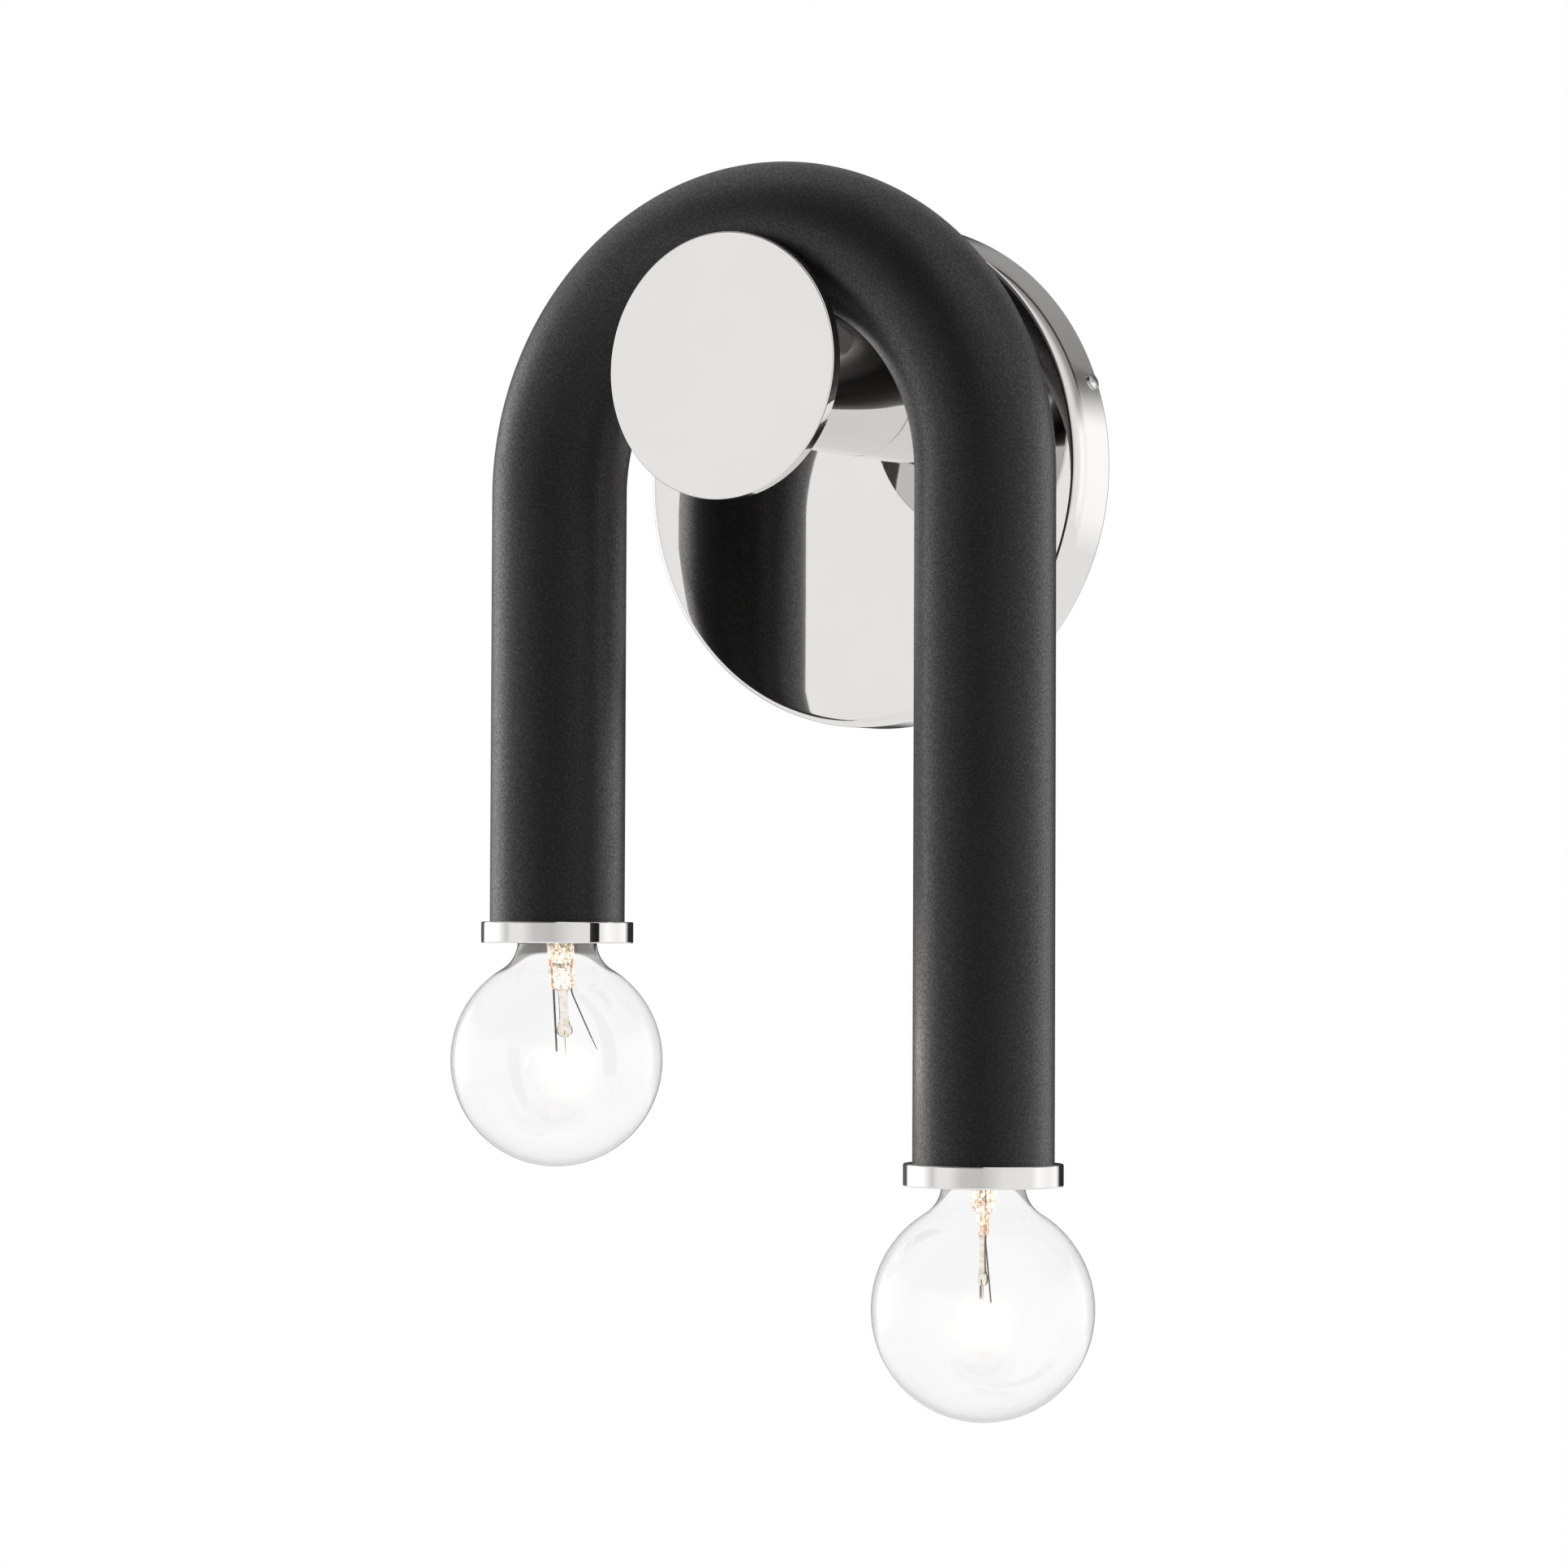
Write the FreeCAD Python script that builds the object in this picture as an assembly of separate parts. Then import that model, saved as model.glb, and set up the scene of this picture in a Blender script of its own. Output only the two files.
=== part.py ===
import FreeCAD, Part
import math
import os

# Two-lamp wall sconce: a black tube bent like a cane hangs over a polished peg on a round canopy.
# Millimetres. The origin is the canopy's centre on the wall, +X right, +Y into the wall, +Z up.
# A reach is a distance from the wall into the room, so it is measured along -Y.

V = FreeCAD.Vector

# Canopy, the round drum on the wall, wider than the plate by a gap all round
canopy_side_gap = 9.9
canopy_depth = 16.0
canopy_wall = 1.2
canopy_edge_radius = 1.5

# Mounting plate behind the canopy, screwed to a wall box through two slots near its edge
plate_thickness = 1.6
slot_edge_margin = 1.05
wiring_hole_radius = 20.0
box_screw_spacing = 88.9
box_slot_width = 4.8
box_slot_length = 13.0
lug_width = 12.0
lug_height = 7.0
lug_gap = 0.5
boss_margin = 0.4
boss_height = 3.4
boss_edge_margin = 2.4

# Side screws that hold the canopy on the plate's lugs
side_screw_angle = 19.0
side_screw_reach = 3.3
side_screw_radius = 1.45
side_screw_head_radius = 2.0
side_screw_head_height = 0.9
side_screw_tip = 1.4
side_screw_slot = 0.5

# Ground screw and ground lead
ground_screw_radius = 2.3
ground_head_radius = 4.2
ground_head_height = 2.4
ground_slot = 1.0
ring_terminal_margin = 1.2
eyelet_margin = 1.0
terminal_thickness = 1.2
ground_wire_radius = 0.5
ground_wire_bend_radius = 1.6

# Stem, the peg between the canopy and the front disc
stem_rise = 20.8
stem_radius = 16.7
stem_wall = 1.5
stem_plug_thickness = 5.0

# Front disc
disc_radius = 32.0
disc_thickness = 3.0
disc_gap = 0.6
disc_edge_radius = 0.4
disc_spigot_depth = 6.0
disc_spigot_wall = 2.0

# Arm, one tube bent over the stem, with a short left leg and a long right leg
tube_wall = 1.5
tube_reach = 57.0
arch_radius = 61.4
left_leg_drop = 105.4
right_leg_drop = 161.7
saddle_thickness = 0.9

# Hollow threaded nipples, with their nuts and washers
nipple_radius = 4.95
nipple_bore_radius = 3.5
nipple_overhang = 1.0
nut_flats = 15.0
nut_height = 3.2
nut_chamfer = 0.8
lock_washer_radius = 7.6
lock_washer_thickness = 1.0
lock_washer_slit = 1.2
saddle_radius = 7.0
bush_radius = 7.6
bush_height = 4.6
seat_radius = 7.5
seat_edge_thickness = 1.0

# Lamp collar on each tube end
collar_overhang = 2.1
collar_thickness = 5.3
collar_edge_radius = 0.4
collar_mouth_radius = 10.9
collar_lip = 3.0
collar_spigot_depth = 10.0
collar_spigot_wall = 1.5
groove_depth = 0.8

# Candelabra socket inside the collar
socket_flange_radius = 13.5
socket_flange_height = 4.0
socket_body_radius = 11.5
socket_height = 24.0
socket_chamfer = 1.0
socket_mouth_radius = 10.3
socket_mouth_depth = 3.2
shell_wall = 0.4
shell_length = 14.0
lead_hole_radius = 1.1
lead_hole_depth = 3.0
lead_hole_offset = 4.5
retainer_thickness = 1.0
retainer_width = 1.6
retainer_opening = 6.0
leaf_thickness = 0.4
leaf_width = 4.0
leaf_foot = 2.8
leaf_ramp = 1.4
leaf_pad = 3.0
leaf_drop = 0.7

# Globe lamp with a candelabra base, seated in the socket
globe_radius = 26.2
globe_drop = 28.8
glass_wall = 0.7
neck_radius = 9.8
neck_blend_radius = 8.0
neck_shoulder_radius = 4.3
neck_shoulder_rise = 1.0
stub_length = 10.0
base_radius = 5.95
base_wall = 0.35
base_length = 12.7
base_taper = 0.7
base_start = 5.5
insulator_height = 2.0
insulator_top_radius = 3.4
tip_radius = 2.6
tip_height = 1.0
tip_stem_radius = 1.1

# Glass mount, lead wires and filament inside the lamp
mount_radius = 3.4
mount_wall = 0.7
mount_top = 13.0
mount_flare_height = 1.6
mount_tube_end = 5.3
pinch_width = 6.5
pinch_depth = 3.4
pinch_corner_radius = 1.1
pinch_length = 6.0
post_radius = 0.9
post_length = 10.4
button_radius = 1.6
lead_radius = 0.3
lead_offset = 2.2
lead_straight = 1.0
lead_spread = 7.7
lead_bend_radius = 1.2
filament_drop = 26.8
filament_sag = 4.6
filament_radius = 0.45
support_radius = 0.2
left_lamp_angle = 33.0
right_lamp_angle = -57.0

# Insulated wires and the twist-on connectors in the canopy
wire_radius = 0.8
wire_pitch = 1.9
crown_bend_radius = 7.0
stem_bend_radius = 6.0
canopy_bend_radius = 2.8
leg_bend_radius = 12.0
wall_clearance = 1.4
spread_start = 8.0
spread_length = 14.0
connector_side = 28.0
connector_length = 17.0
connector_mouth_radius = 4.3
connector_end_radius = 3.0
connector_bore_radius = 2.7
connector_bore_depth = 9.0
connector_gap = 2.0
connector_drop = 24.0

# Clearances, and how far a cutting tool runs past what it cuts
fit = 0.05
spigot_fit = 0.1
hole_clearance = 0.25
thread_clearance = 0.1
lamp_gap = 0.3
overrun = 2.0

# Shares and counts
wire_arch_share = 0.81
wire_entry_share = 0.8
nut_sides = 6

# Places that follow from the sizes above: the plate holds the box screws, and the tube the collar's spigot
plate_radius = (box_screw_spacing + box_slot_length) / 2 + slot_edge_margin
canopy_inner_radius = plate_radius + canopy_side_gap
canopy_radius = canopy_inner_radius + canopy_wall
canopy_inner_reach = canopy_depth - canopy_wall
lug_radius = canopy_inner_radius - lug_gap
stem_bore = stem_radius - stem_wall
counterbore_radius = socket_flange_radius + spigot_fit
groove_radius = counterbore_radius + groove_depth
spigot_radius = counterbore_radius + collar_spigot_wall
tube_bore = spigot_radius + spigot_fit
tube_radius = tube_bore + tube_wall
disc_back_reach = tube_reach + tube_radius + disc_gap
stem_top = stem_rise + stem_radius
crown_rise = stem_top + saddle_thickness + tube_radius
arch_rise = crown_rise - arch_radius
nipple_hole_radius = nipple_radius + hole_clearance
collar_radius = tube_radius + collar_overhang
retainer_floor = collar_lip + socket_flange_height
shell_bore_radius = base_radius + thread_clearance
shell_radius = shell_bore_radius + shell_wall
shell_floor = collar_lip + socket_mouth_depth + fit
lamp_top = base_start + base_length + insulator_height + tip_height
leaf_floor = lamp_top + lamp_gap + leaf_drop + leaf_thickness
socket_top = collar_lip + socket_height
seat_floor = stem_rise + math.sqrt(stem_bore ** 2 - seat_radius ** 2) - seat_edge_thickness
nipple_bottom = seat_floor - nut_height - nipple_overhang
eyelet_radius = ground_head_radius + eyelet_margin
boss_radius = eyelet_radius + boss_margin
boss_offset = plate_radius - boss_radius - boss_edge_margin
ring_terminal_radius = lock_washer_radius + ring_terminal_margin
terminal_reach = canopy_inner_reach - terminal_thickness
stem_nut_reach = terminal_reach - lock_washer_thickness
stem_nipple_reach = stem_nut_reach - nut_height - nipple_overhang
half_pitch = wire_pitch / 2

up = V(0, 0, 1)
into_room = V(0, -1, 0)


def at(x, reach, z):
    """Point at a distance from the wall."""
    return V(x, -reach, z)


def rod(start, end, radius):
    """Cylinder from one point to another."""
    run = end.sub(start)
    return Part.makeCylinder(radius, run.Length, start, run)


def through_hole(start, end, radius):
    """Cylinder that runs past both of its end points."""
    run = end.sub(start)
    run.normalize()
    extra = run.multiply(overrun)
    return rod(start.sub(extra), end.add(extra), radius)


def ring(start, end, radius, hole_radius):
    """Washer or tube from one point to another."""
    return rod(start, end, radius).cut(through_hole(start, end, hole_radius))


def placed(shape, origin, axis):
    """Copy of a shape with its local Z axis laid along an axis."""
    copy = shape.copy()
    copy.Placement = FreeCAD.Placement(origin, FreeCAD.Rotation(up, axis))
    return copy


def arc_step(radius_centre, height_centre, radius, start_angle, end_angle):
    """Middle and end of an arc in a spun outline, angles in degrees from the radius direction."""
    points = []
    for angle in ((start_angle + end_angle) / 2, end_angle):
        turn = math.radians(angle)
        points.append(radius_centre + radius * math.cos(turn))
        points.append(height_centre + radius * math.sin(turn))
    return tuple(points)


def dome_step(rim_radius, rim_height, rise):
    """Middle and end of a dome's arc in a spun outline, from its rim to its crown on the axis."""
    radius = (rim_radius ** 2 + rise ** 2) / (2 * rise)
    rim_angle = math.degrees(math.atan2(radius - rise, rim_radius))
    return arc_step(0, rim_height + rise - radius, radius, rim_angle, 90)


def spun(steps):
    """Solid of revolution about Z. A step is a corner, or the middle and end of an arc."""
    edges = []
    here = V(steps[0][0], 0, steps[0][1])
    for step in steps[1:] + steps[:1]:
        end = V(step[-2], 0, step[-1])
        if len(step) == 4:
            edges.append(Part.Arc(here, V(step[0], 0, step[1]), end).toShape())
        elif end.distanceToPoint(here) > 0:
            edges.append(Part.LineSegment(here, end).toShape())
        here = end
    return Part.Face(Part.Wire(edges)).revolve(V(0, 0, 0), up, 360)


def rounded_path(points, radii):
    """Wire of straight runs joined by tangent arcs, one radius for each inner point."""
    edges = []
    here = points[0]
    for index, radius in enumerate(radii):
        corner = points[index + 1]
        back = points[index].sub(corner).normalize()
        ahead = points[index + 2].sub(corner).normalize()
        half_angle = back.getAngle(ahead) / 2
        setback = radius / math.tan(half_angle)
        middle_way = back.add(ahead).normalize()
        centre = corner.add(V(middle_way).multiply(radius / math.sin(half_angle)))
        entry = corner.add(V(back).multiply(setback))
        leave = corner.add(V(ahead).multiply(setback))
        middle = centre.sub(V(middle_way).multiply(radius))
        edges.append(Part.LineSegment(here, entry).toShape())
        edges.append(Part.Arc(entry, middle, leave).toShape())
        here = leave
    edges.append(Part.LineSegment(here, points[-1]).toShape())
    return Part.Wire(edges)


def swept_rod(path, radius):
    """Round bar along a path."""
    first = path.OrderedEdges[0]
    start = first.valueAt(first.FirstParameter)
    heading = first.tangentAt(first.FirstParameter)
    section = Part.Wire(Part.makeCircle(radius, start, heading))
    return path.makePipeShell([section], True, True)


def hex_nut(hole_radius):
    """Hexagon nut with chamfered corners, its lower face at Z zero."""
    corner = nut_flats / math.sqrt(3)
    turns = [2 * math.pi * index / nut_sides for index in range(nut_sides + 1)]
    outline = Part.makePolygon([V(corner * math.cos(turn), corner * math.sin(turn), 0) for turn in turns])
    prism = Part.Face(outline).extrude(V(0, 0, nut_height))
    turned = spun([
        (0, 0),
        (corner - nut_chamfer, 0),
        (corner, nut_chamfer / 2),
        (corner, nut_height - nut_chamfer / 2),
        (corner - nut_chamfer, nut_height),
        (0, nut_height),
    ])
    hole = through_hole(V(0, 0, 0), V(0, 0, nut_height), hole_radius)
    return prism.common(turned).cut(hole)


def side_direction(side):
    """Direction from the canopy's centre to a side screw, side 1 on the right and -1 on the left."""
    turn = math.radians(side_screw_angle)
    return V(side * math.cos(turn), 0, side * math.sin(turn))


def side_point(side, radius):
    """Point on a side screw's axis."""
    return at(0, side_screw_reach, 0).add(side_direction(side).multiply(radius))


def canopy():
    """Spun drum, open at the wall, with a rounded front edge and holes for the stem and side screws."""
    edge_centre = canopy_radius - canopy_edge_radius
    drum = spun([
        (canopy_inner_radius, 0),
        (canopy_radius, 0),
        (canopy_radius, canopy_depth - canopy_edge_radius),
        arc_step(edge_centre, canopy_depth - canopy_edge_radius, canopy_edge_radius, 0, 90),
        (0, canopy_depth),
        (0, canopy_inner_reach),
        (canopy_inner_radius, canopy_inner_reach),
    ])
    shell = placed(drum, V(0, 0, 0), into_room)
    outside = at(0, canopy_depth, stem_rise)
    inside = at(0, canopy_inner_reach, stem_rise)
    shell = shell.cut(through_hole(outside, inside, nipple_hole_radius))
    for side in (1, -1):
        hole_radius = side_screw_radius + hole_clearance
        inner = side_point(side, canopy_inner_radius)
        shell = shell.cut(through_hole(inner, side_point(side, canopy_radius), hole_radius))
    return shell


def box_slot(side):
    """Slot for a box screw, along X."""
    straight = box_slot_length - box_slot_width
    middle = side * box_screw_spacing / 2
    tool = Part.makeBox(
        straight,
        plate_thickness + 2 * overrun,
        box_slot_width,
        V(middle - straight / 2, -plate_thickness - overrun, -box_slot_width / 2),
    )
    for end in (-1, 1):
        x = middle + end * straight / 2
        tool = tool.fuse(through_hole(at(x, 0, 0), at(x, plate_thickness, 0), box_slot_width / 2))
    return tool


def mounting_plate():
    """Round plate with a wiring hole, two box slots, two turned-up lugs and a raised ground boss."""
    plate = rod(at(0, 0, 0), at(0, plate_thickness, 0), plate_radius)
    cup = rod(at(0, 0, 0), at(0, lug_height, 0), lug_radius)
    inside = rod(at(0, plate_thickness, 0), at(0, lug_height + overrun, 0), lug_radius - plate_thickness)
    bar = Part.makeBox(
        2 * canopy_radius,
        lug_height + overrun,
        lug_width,
        V(-canopy_radius, -lug_height - overrun / 2, -lug_width / 2),
    )
    bar.rotate(V(0, 0, 0), V(0, 1, 0), -side_screw_angle)
    boss_end = at(0, plate_thickness + boss_height, boss_offset)
    plate = plate.fuse(cup.cut(inside).common(bar))
    plate = plate.fuse(rod(at(0, 0, boss_offset), boss_end, boss_radius))
    plate = plate.cut(through_hole(at(0, 0, 0), at(0, plate_thickness, 0), wiring_hole_radius))
    plate = plate.cut(through_hole(at(0, 0, boss_offset), boss_end, ground_screw_radius + fit))
    for side in (1, -1):
        plate = plate.cut(box_slot(side))
        lug_hole_radius = side_screw_radius + fit
        inner = side_point(side, lug_radius - plate_thickness)
        plate = plate.cut(through_hole(inner, side_point(side, lug_radius), lug_hole_radius))
    return plate.removeSplitter()


def side_screw(side):
    """Small screw with a domed, slotted head on the canopy's wall and its tip through the plate's lug."""
    under_head = canopy_radius + fit
    shank_length = under_head - (lug_radius - plate_thickness - side_screw_tip)
    crown = side_screw_head_height
    dome = spun([
        (0, -shank_length),
        (side_screw_radius, -shank_length),
        (side_screw_radius, 0),
        (side_screw_head_radius, 0),
        (side_screw_head_radius, crown / 2),
        dome_step(side_screw_head_radius, crown / 2, crown / 2),
    ])
    slot_long = 2 * (side_screw_head_radius + overrun)
    slot = Part.makeBox(
        slot_long,
        side_screw_slot,
        overrun,
        V(-slot_long / 2, -side_screw_slot / 2, crown / 2),
    )
    return placed(dome.cut(slot), side_point(side, under_head), side_direction(side))


def ground_screw():
    """Slotted pan head screw in the plate's boss, over the ground lead's eyelet."""
    shank_length = plate_thickness + boss_height + terminal_thickness - fit
    body = spun([
        (0, -shank_length),
        (ground_screw_radius, -shank_length),
        (ground_screw_radius, 0),
        (ground_head_radius, 0),
        (ground_head_radius, ground_head_height / 2),
        dome_step(ground_head_radius, ground_head_height / 2, ground_head_height / 2),
    ])
    slot_long = 2 * (ground_head_radius + overrun)
    slot = Part.makeBox(
        slot_long,
        ground_slot,
        overrun,
        V(-slot_long / 2, -ground_slot / 2, ground_head_height / 2),
    )
    head_reach = plate_thickness + boss_height + terminal_thickness
    return placed(body.cut(slot), at(0, head_reach, boss_offset), into_room)


def ground_lead():
    """Bare wire from a ring terminal under the stem nut to an eyelet under the ground screw."""
    terminal = ring(
        at(0, canopy_inner_reach, stem_rise),
        at(0, terminal_reach, stem_rise),
        ring_terminal_radius,
        nipple_hole_radius,
    )
    eyelet_reach = plate_thickness + boss_height
    eyelet_hole_radius = ground_screw_radius + hole_clearance
    eyelet = ring(
        at(0, eyelet_reach, boss_offset),
        at(0, eyelet_reach + terminal_thickness, boss_offset),
        eyelet_radius,
        eyelet_hole_radius,
    )
    start_z = stem_rise + (nipple_hole_radius + ring_terminal_radius) / 2
    end_z = boss_offset - (eyelet_hole_radius + eyelet_radius) / 2
    room = end_z - start_z
    front = terminal_reach + terminal_thickness / 2
    back = eyelet_reach + terminal_thickness / 2
    path = rounded_path(
        [
            at(0, front, start_z),
            at(0, front, start_z + room / 3),
            at(0, back, end_z - room / 3),
            at(0, back, end_z),
        ],
        [ground_wire_bend_radius, ground_wire_bend_radius],
    )
    return terminal.fuse(swept_rod(path, ground_wire_radius)).fuse(eyelet).removeSplitter()


def stem_tube():
    """Open tube between the canopy and the front disc, with a hole under the arm for the crown nipple."""
    tube = ring(at(0, canopy_depth, stem_rise), at(0, disc_back_reach, stem_rise), stem_radius, stem_bore)
    hole = rod(at(0, tube_reach, stem_rise), at(0, tube_reach, stem_top + overrun), nipple_hole_radius)
    return tube.cut(hole)


def stem_plug():
    """Threaded plug that closes the stem's wall end."""
    front_reach = canopy_depth + stem_plug_thickness
    return ring(
        at(0, canopy_depth, stem_rise),
        at(0, front_reach, stem_rise),
        stem_bore - fit,
        nipple_radius + fit,
    )


def stem_nipple():
    """Hollow threaded rod from the stem's plug to the inside of the canopy."""
    front = at(0, canopy_depth + stem_plug_thickness, stem_rise)
    return ring(front, at(0, stem_nipple_reach, stem_rise), nipple_radius, nipple_bore_radius)


def stem_lock_washer():
    """Split washer under the stem nut."""
    washer = ring(
        at(0, terminal_reach, stem_rise),
        at(0, stem_nut_reach, stem_rise),
        lock_washer_radius,
        nipple_hole_radius,
    )
    slit = Part.makeBox(
        lock_washer_slit,
        lock_washer_thickness + 2 * overrun,
        lock_washer_radius + overrun,
        V(-lock_washer_slit / 2, -terminal_reach - overrun, stem_rise - lock_washer_radius - overrun),
    )
    return washer.cut(slit)


def stem_nut():
    """Hexagon nut that clamps the stem to the canopy."""
    return placed(hex_nut(nipple_radius + fit), at(0, stem_nut_reach - nut_height, stem_rise), into_room)


def front_disc():
    """Polished disc on the stem's open end, with a hollow spigot in the bore."""
    edge = disc_radius - disc_edge_radius
    spigot = stem_bore - spigot_fit
    disc = spun([
        (0, 0),
        (spigot - disc_spigot_wall, 0),
        (spigot - disc_spigot_wall, -disc_spigot_depth),
        (spigot, -disc_spigot_depth),
        (spigot, 0),
        (disc_radius, 0),
        (disc_radius, disc_thickness - disc_edge_radius),
        arc_step(edge, disc_thickness - disc_edge_radius, disc_edge_radius, 0, 90),
        (0, disc_thickness),
    ])
    return placed(disc, at(0, disc_back_reach, stem_rise), into_room)


def arm_bar(radius, extra):
    """Solid bar along the arm's centre line: a leg, half a ring and the other leg."""
    section = Part.Face(Part.Wire(Part.makeCircle(radius, at(arch_radius, tube_reach, arch_rise), up)))
    bar = section.revolve(at(0, tube_reach, arch_rise), into_room, 180)
    for side, drop in ((-1, left_leg_drop), (1, right_leg_drop)):
        top = at(side * arch_radius, tube_reach, arch_rise)
        foot = at(side * arch_radius, tube_reach, arch_rise - drop - extra)
        bar = bar.fuse(rod(foot, top, radius))
    return bar.removeSplitter()


def arm_tube():
    """Tube bent over the stem, open at both feet, with a hole in its crown for the nipple."""
    tube = arm_bar(tube_radius, 0).cut(arm_bar(tube_bore, overrun))
    hole = rod(at(0, tube_reach, stem_rise), at(0, tube_reach, crown_rise), nipple_hole_radius)
    return tube.cut(hole)


def crown_saddle():
    """Spacer shaped to the stem below and the arm above, which keeps the arm from rolling."""
    block = ring(
        at(0, tube_reach, stem_rise),
        at(0, tube_reach, crown_rise),
        saddle_radius,
        nipple_hole_radius,
    )
    stem = rod(at(0, canopy_depth, stem_rise), at(0, disc_back_reach, stem_rise), stem_radius)
    return block.cut(stem).cut(arm_bar(tube_radius, 0))


def crown_bush():
    """Threaded bush inside the arm's crown, shaped to the tube's bore."""
    top = crown_rise - tube_bore + bush_height
    block = ring(at(0, tube_reach, stem_top), at(0, tube_reach, top), bush_radius, nipple_radius + fit)
    return block.common(arm_bar(tube_bore - fit, 0))


def crown_nipple():
    """Hollow threaded rod that joins the arm to the stem and carries the wires."""
    bottom = at(0, tube_reach, nipple_bottom)
    top = at(0, tube_reach, crown_rise - tube_bore + bush_height + nipple_overhang)
    return ring(bottom, top, nipple_radius, nipple_bore_radius)


def crown_seat():
    """Washer inside the stem, round on top to fit the bore and flat below for the nut."""
    floor = at(0, tube_reach, seat_floor)
    block = ring(floor, at(0, tube_reach, stem_top), seat_radius, nipple_hole_radius)
    bore = rod(at(0, canopy_depth, stem_rise), at(0, disc_back_reach, stem_rise), stem_bore - fit)
    return block.common(bore)


def crown_nut():
    """Hexagon nut under the crown seat."""
    return placed(hex_nut(nipple_radius + fit), at(0, tube_reach, seat_floor - nut_height), up)


def collar():
    """Turned collar: a polished flange under the tube, a spigot in its bore and a lip for the socket."""
    edge = collar_edge_radius
    top = collar_thickness + collar_spigot_depth
    groove_top = retainer_floor + retainer_thickness + spigot_fit
    return spun([
        (collar_mouth_radius, 0),
        (collar_radius - edge, 0),
        arc_step(collar_radius - edge, edge, edge, -90, 0),
        (collar_radius, collar_thickness - edge),
        arc_step(collar_radius - edge, collar_thickness - edge, edge, 0, 90),
        (spigot_radius, collar_thickness),
        (spigot_radius, top),
        (counterbore_radius, top),
        (counterbore_radius, groove_top),
        (groove_radius, groove_top),
        (groove_radius, retainer_floor),
        (counterbore_radius, retainer_floor),
        (counterbore_radius, collar_lip),
        (collar_mouth_radius, collar_lip),
    ])


def retaining_ring():
    """Open spring ring in the collar's groove, on top of the socket's flange."""
    outer = groove_radius - spigot_fit
    floor = V(0, 0, retainer_floor)
    top = V(0, 0, retainer_floor + retainer_thickness)
    band = ring(floor, top, outer, outer - retainer_width)
    opening = Part.makeBox(
        retainer_opening,
        groove_radius + overrun,
        retainer_thickness + 2 * overrun,
        V(-retainer_opening / 2, 0, retainer_floor - overrun),
    )
    return band.cut(opening)


def socket_body():
    """Moulded socket with a flange, a mouth for the lamp's neck and two lead holes on top."""
    mouth_top = collar_lip + socket_mouth_depth
    bore = shell_radius + fit
    body = spun([
        (socket_mouth_radius, collar_lip),
        (socket_flange_radius, collar_lip),
        (socket_flange_radius, retainer_floor),
        (socket_body_radius, retainer_floor),
        (socket_body_radius, socket_top - socket_chamfer),
        (socket_body_radius - socket_chamfer, socket_top),
        (0, socket_top),
        (0, leaf_floor),
        (bore, leaf_floor),
        (bore, mouth_top),
        (socket_mouth_radius, mouth_top),
    ])
    for side in (-1, 1):
        y = side * lead_hole_offset
        floor = V(0, y, socket_top - lead_hole_depth)
        body = body.cut(rod(floor, V(0, y, socket_top + overrun), lead_hole_radius))
    return body


def socket_shell():
    """Screw shell that takes the lamp's base."""
    return ring(V(0, 0, shell_floor), V(0, 0, shell_floor + shell_length), shell_radius, shell_bore_radius)


def centre_contact():
    """Springy brass leaf, its foot on the socket's floor and its pad just above the lamp's tip."""
    foot_end = leaf_foot + leaf_ramp
    reach = foot_end + leaf_pad
    pad_top = leaf_floor - leaf_drop
    corners = [
        (0, leaf_floor),
        (0, leaf_floor - leaf_thickness),
        (leaf_foot, leaf_floor - leaf_thickness),
        (foot_end, pad_top - leaf_thickness),
        (reach, pad_top - leaf_thickness),
        (reach, pad_top),
        (foot_end, pad_top),
        (leaf_foot, leaf_floor),
        (0, leaf_floor),
    ]
    start = foot_end + leaf_pad / 2
    points = [V(x - start, -leaf_width / 2, z) for x, z in corners]
    return Part.Face(Part.makePolygon(points)).extrude(V(0, leaf_width, 0))


def lamp_glass():
    """Blown envelope: a globe, a blended neck, a shoulder and a stub inside the metal base."""
    blend_centre = neck_radius + neck_blend_radius
    reach = globe_radius + neck_blend_radius
    blend_height = math.sqrt(reach ** 2 - blend_centre ** 2) - globe_drop
    join_angle = math.degrees(math.atan2(blend_height + globe_drop, blend_centre))
    stub_radius = neck_radius - neck_shoulder_radius
    shoulder_top = neck_shoulder_rise + neck_shoulder_radius
    stub_top = shoulder_top + stub_length
    inner_neck = neck_radius - glass_wall
    inner_globe = globe_radius - glass_wall
    inner_blend = neck_blend_radius + glass_wall
    inner_shoulder = neck_shoulder_radius - glass_wall
    inner_stub = stub_radius - glass_wall
    return spun([
        (0, -globe_drop - globe_radius),
        arc_step(0, -globe_drop, globe_radius, -90, join_angle),
        arc_step(blend_centre, blend_height, neck_blend_radius, 180 + join_angle, 180),
        (neck_radius, neck_shoulder_rise),
        arc_step(stub_radius, neck_shoulder_rise, neck_shoulder_radius, 0, 90),
        (stub_radius, stub_top),
        (inner_stub, stub_top),
        (inner_stub, neck_shoulder_rise + inner_shoulder),
        (stub_radius, neck_shoulder_rise + inner_shoulder),
        arc_step(stub_radius, neck_shoulder_rise, inner_shoulder, 90, 0),
        (inner_neck, blend_height),
        arc_step(blend_centre, blend_height, inner_blend, 180, 180 + join_angle),
        arc_step(0, -globe_drop, inner_globe, join_angle, -90),
    ])


def lamp_base():
    """Metal screw cap, its thread left plain."""
    top = base_start + base_length
    inner = base_radius - base_wall
    return spun([
        (inner, base_start),
        (base_radius, base_start),
        (base_radius, top - base_taper),
        (base_radius - base_taper, top),
        (inner - base_taper, top),
        (inner, top - base_taper),
    ])


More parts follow.
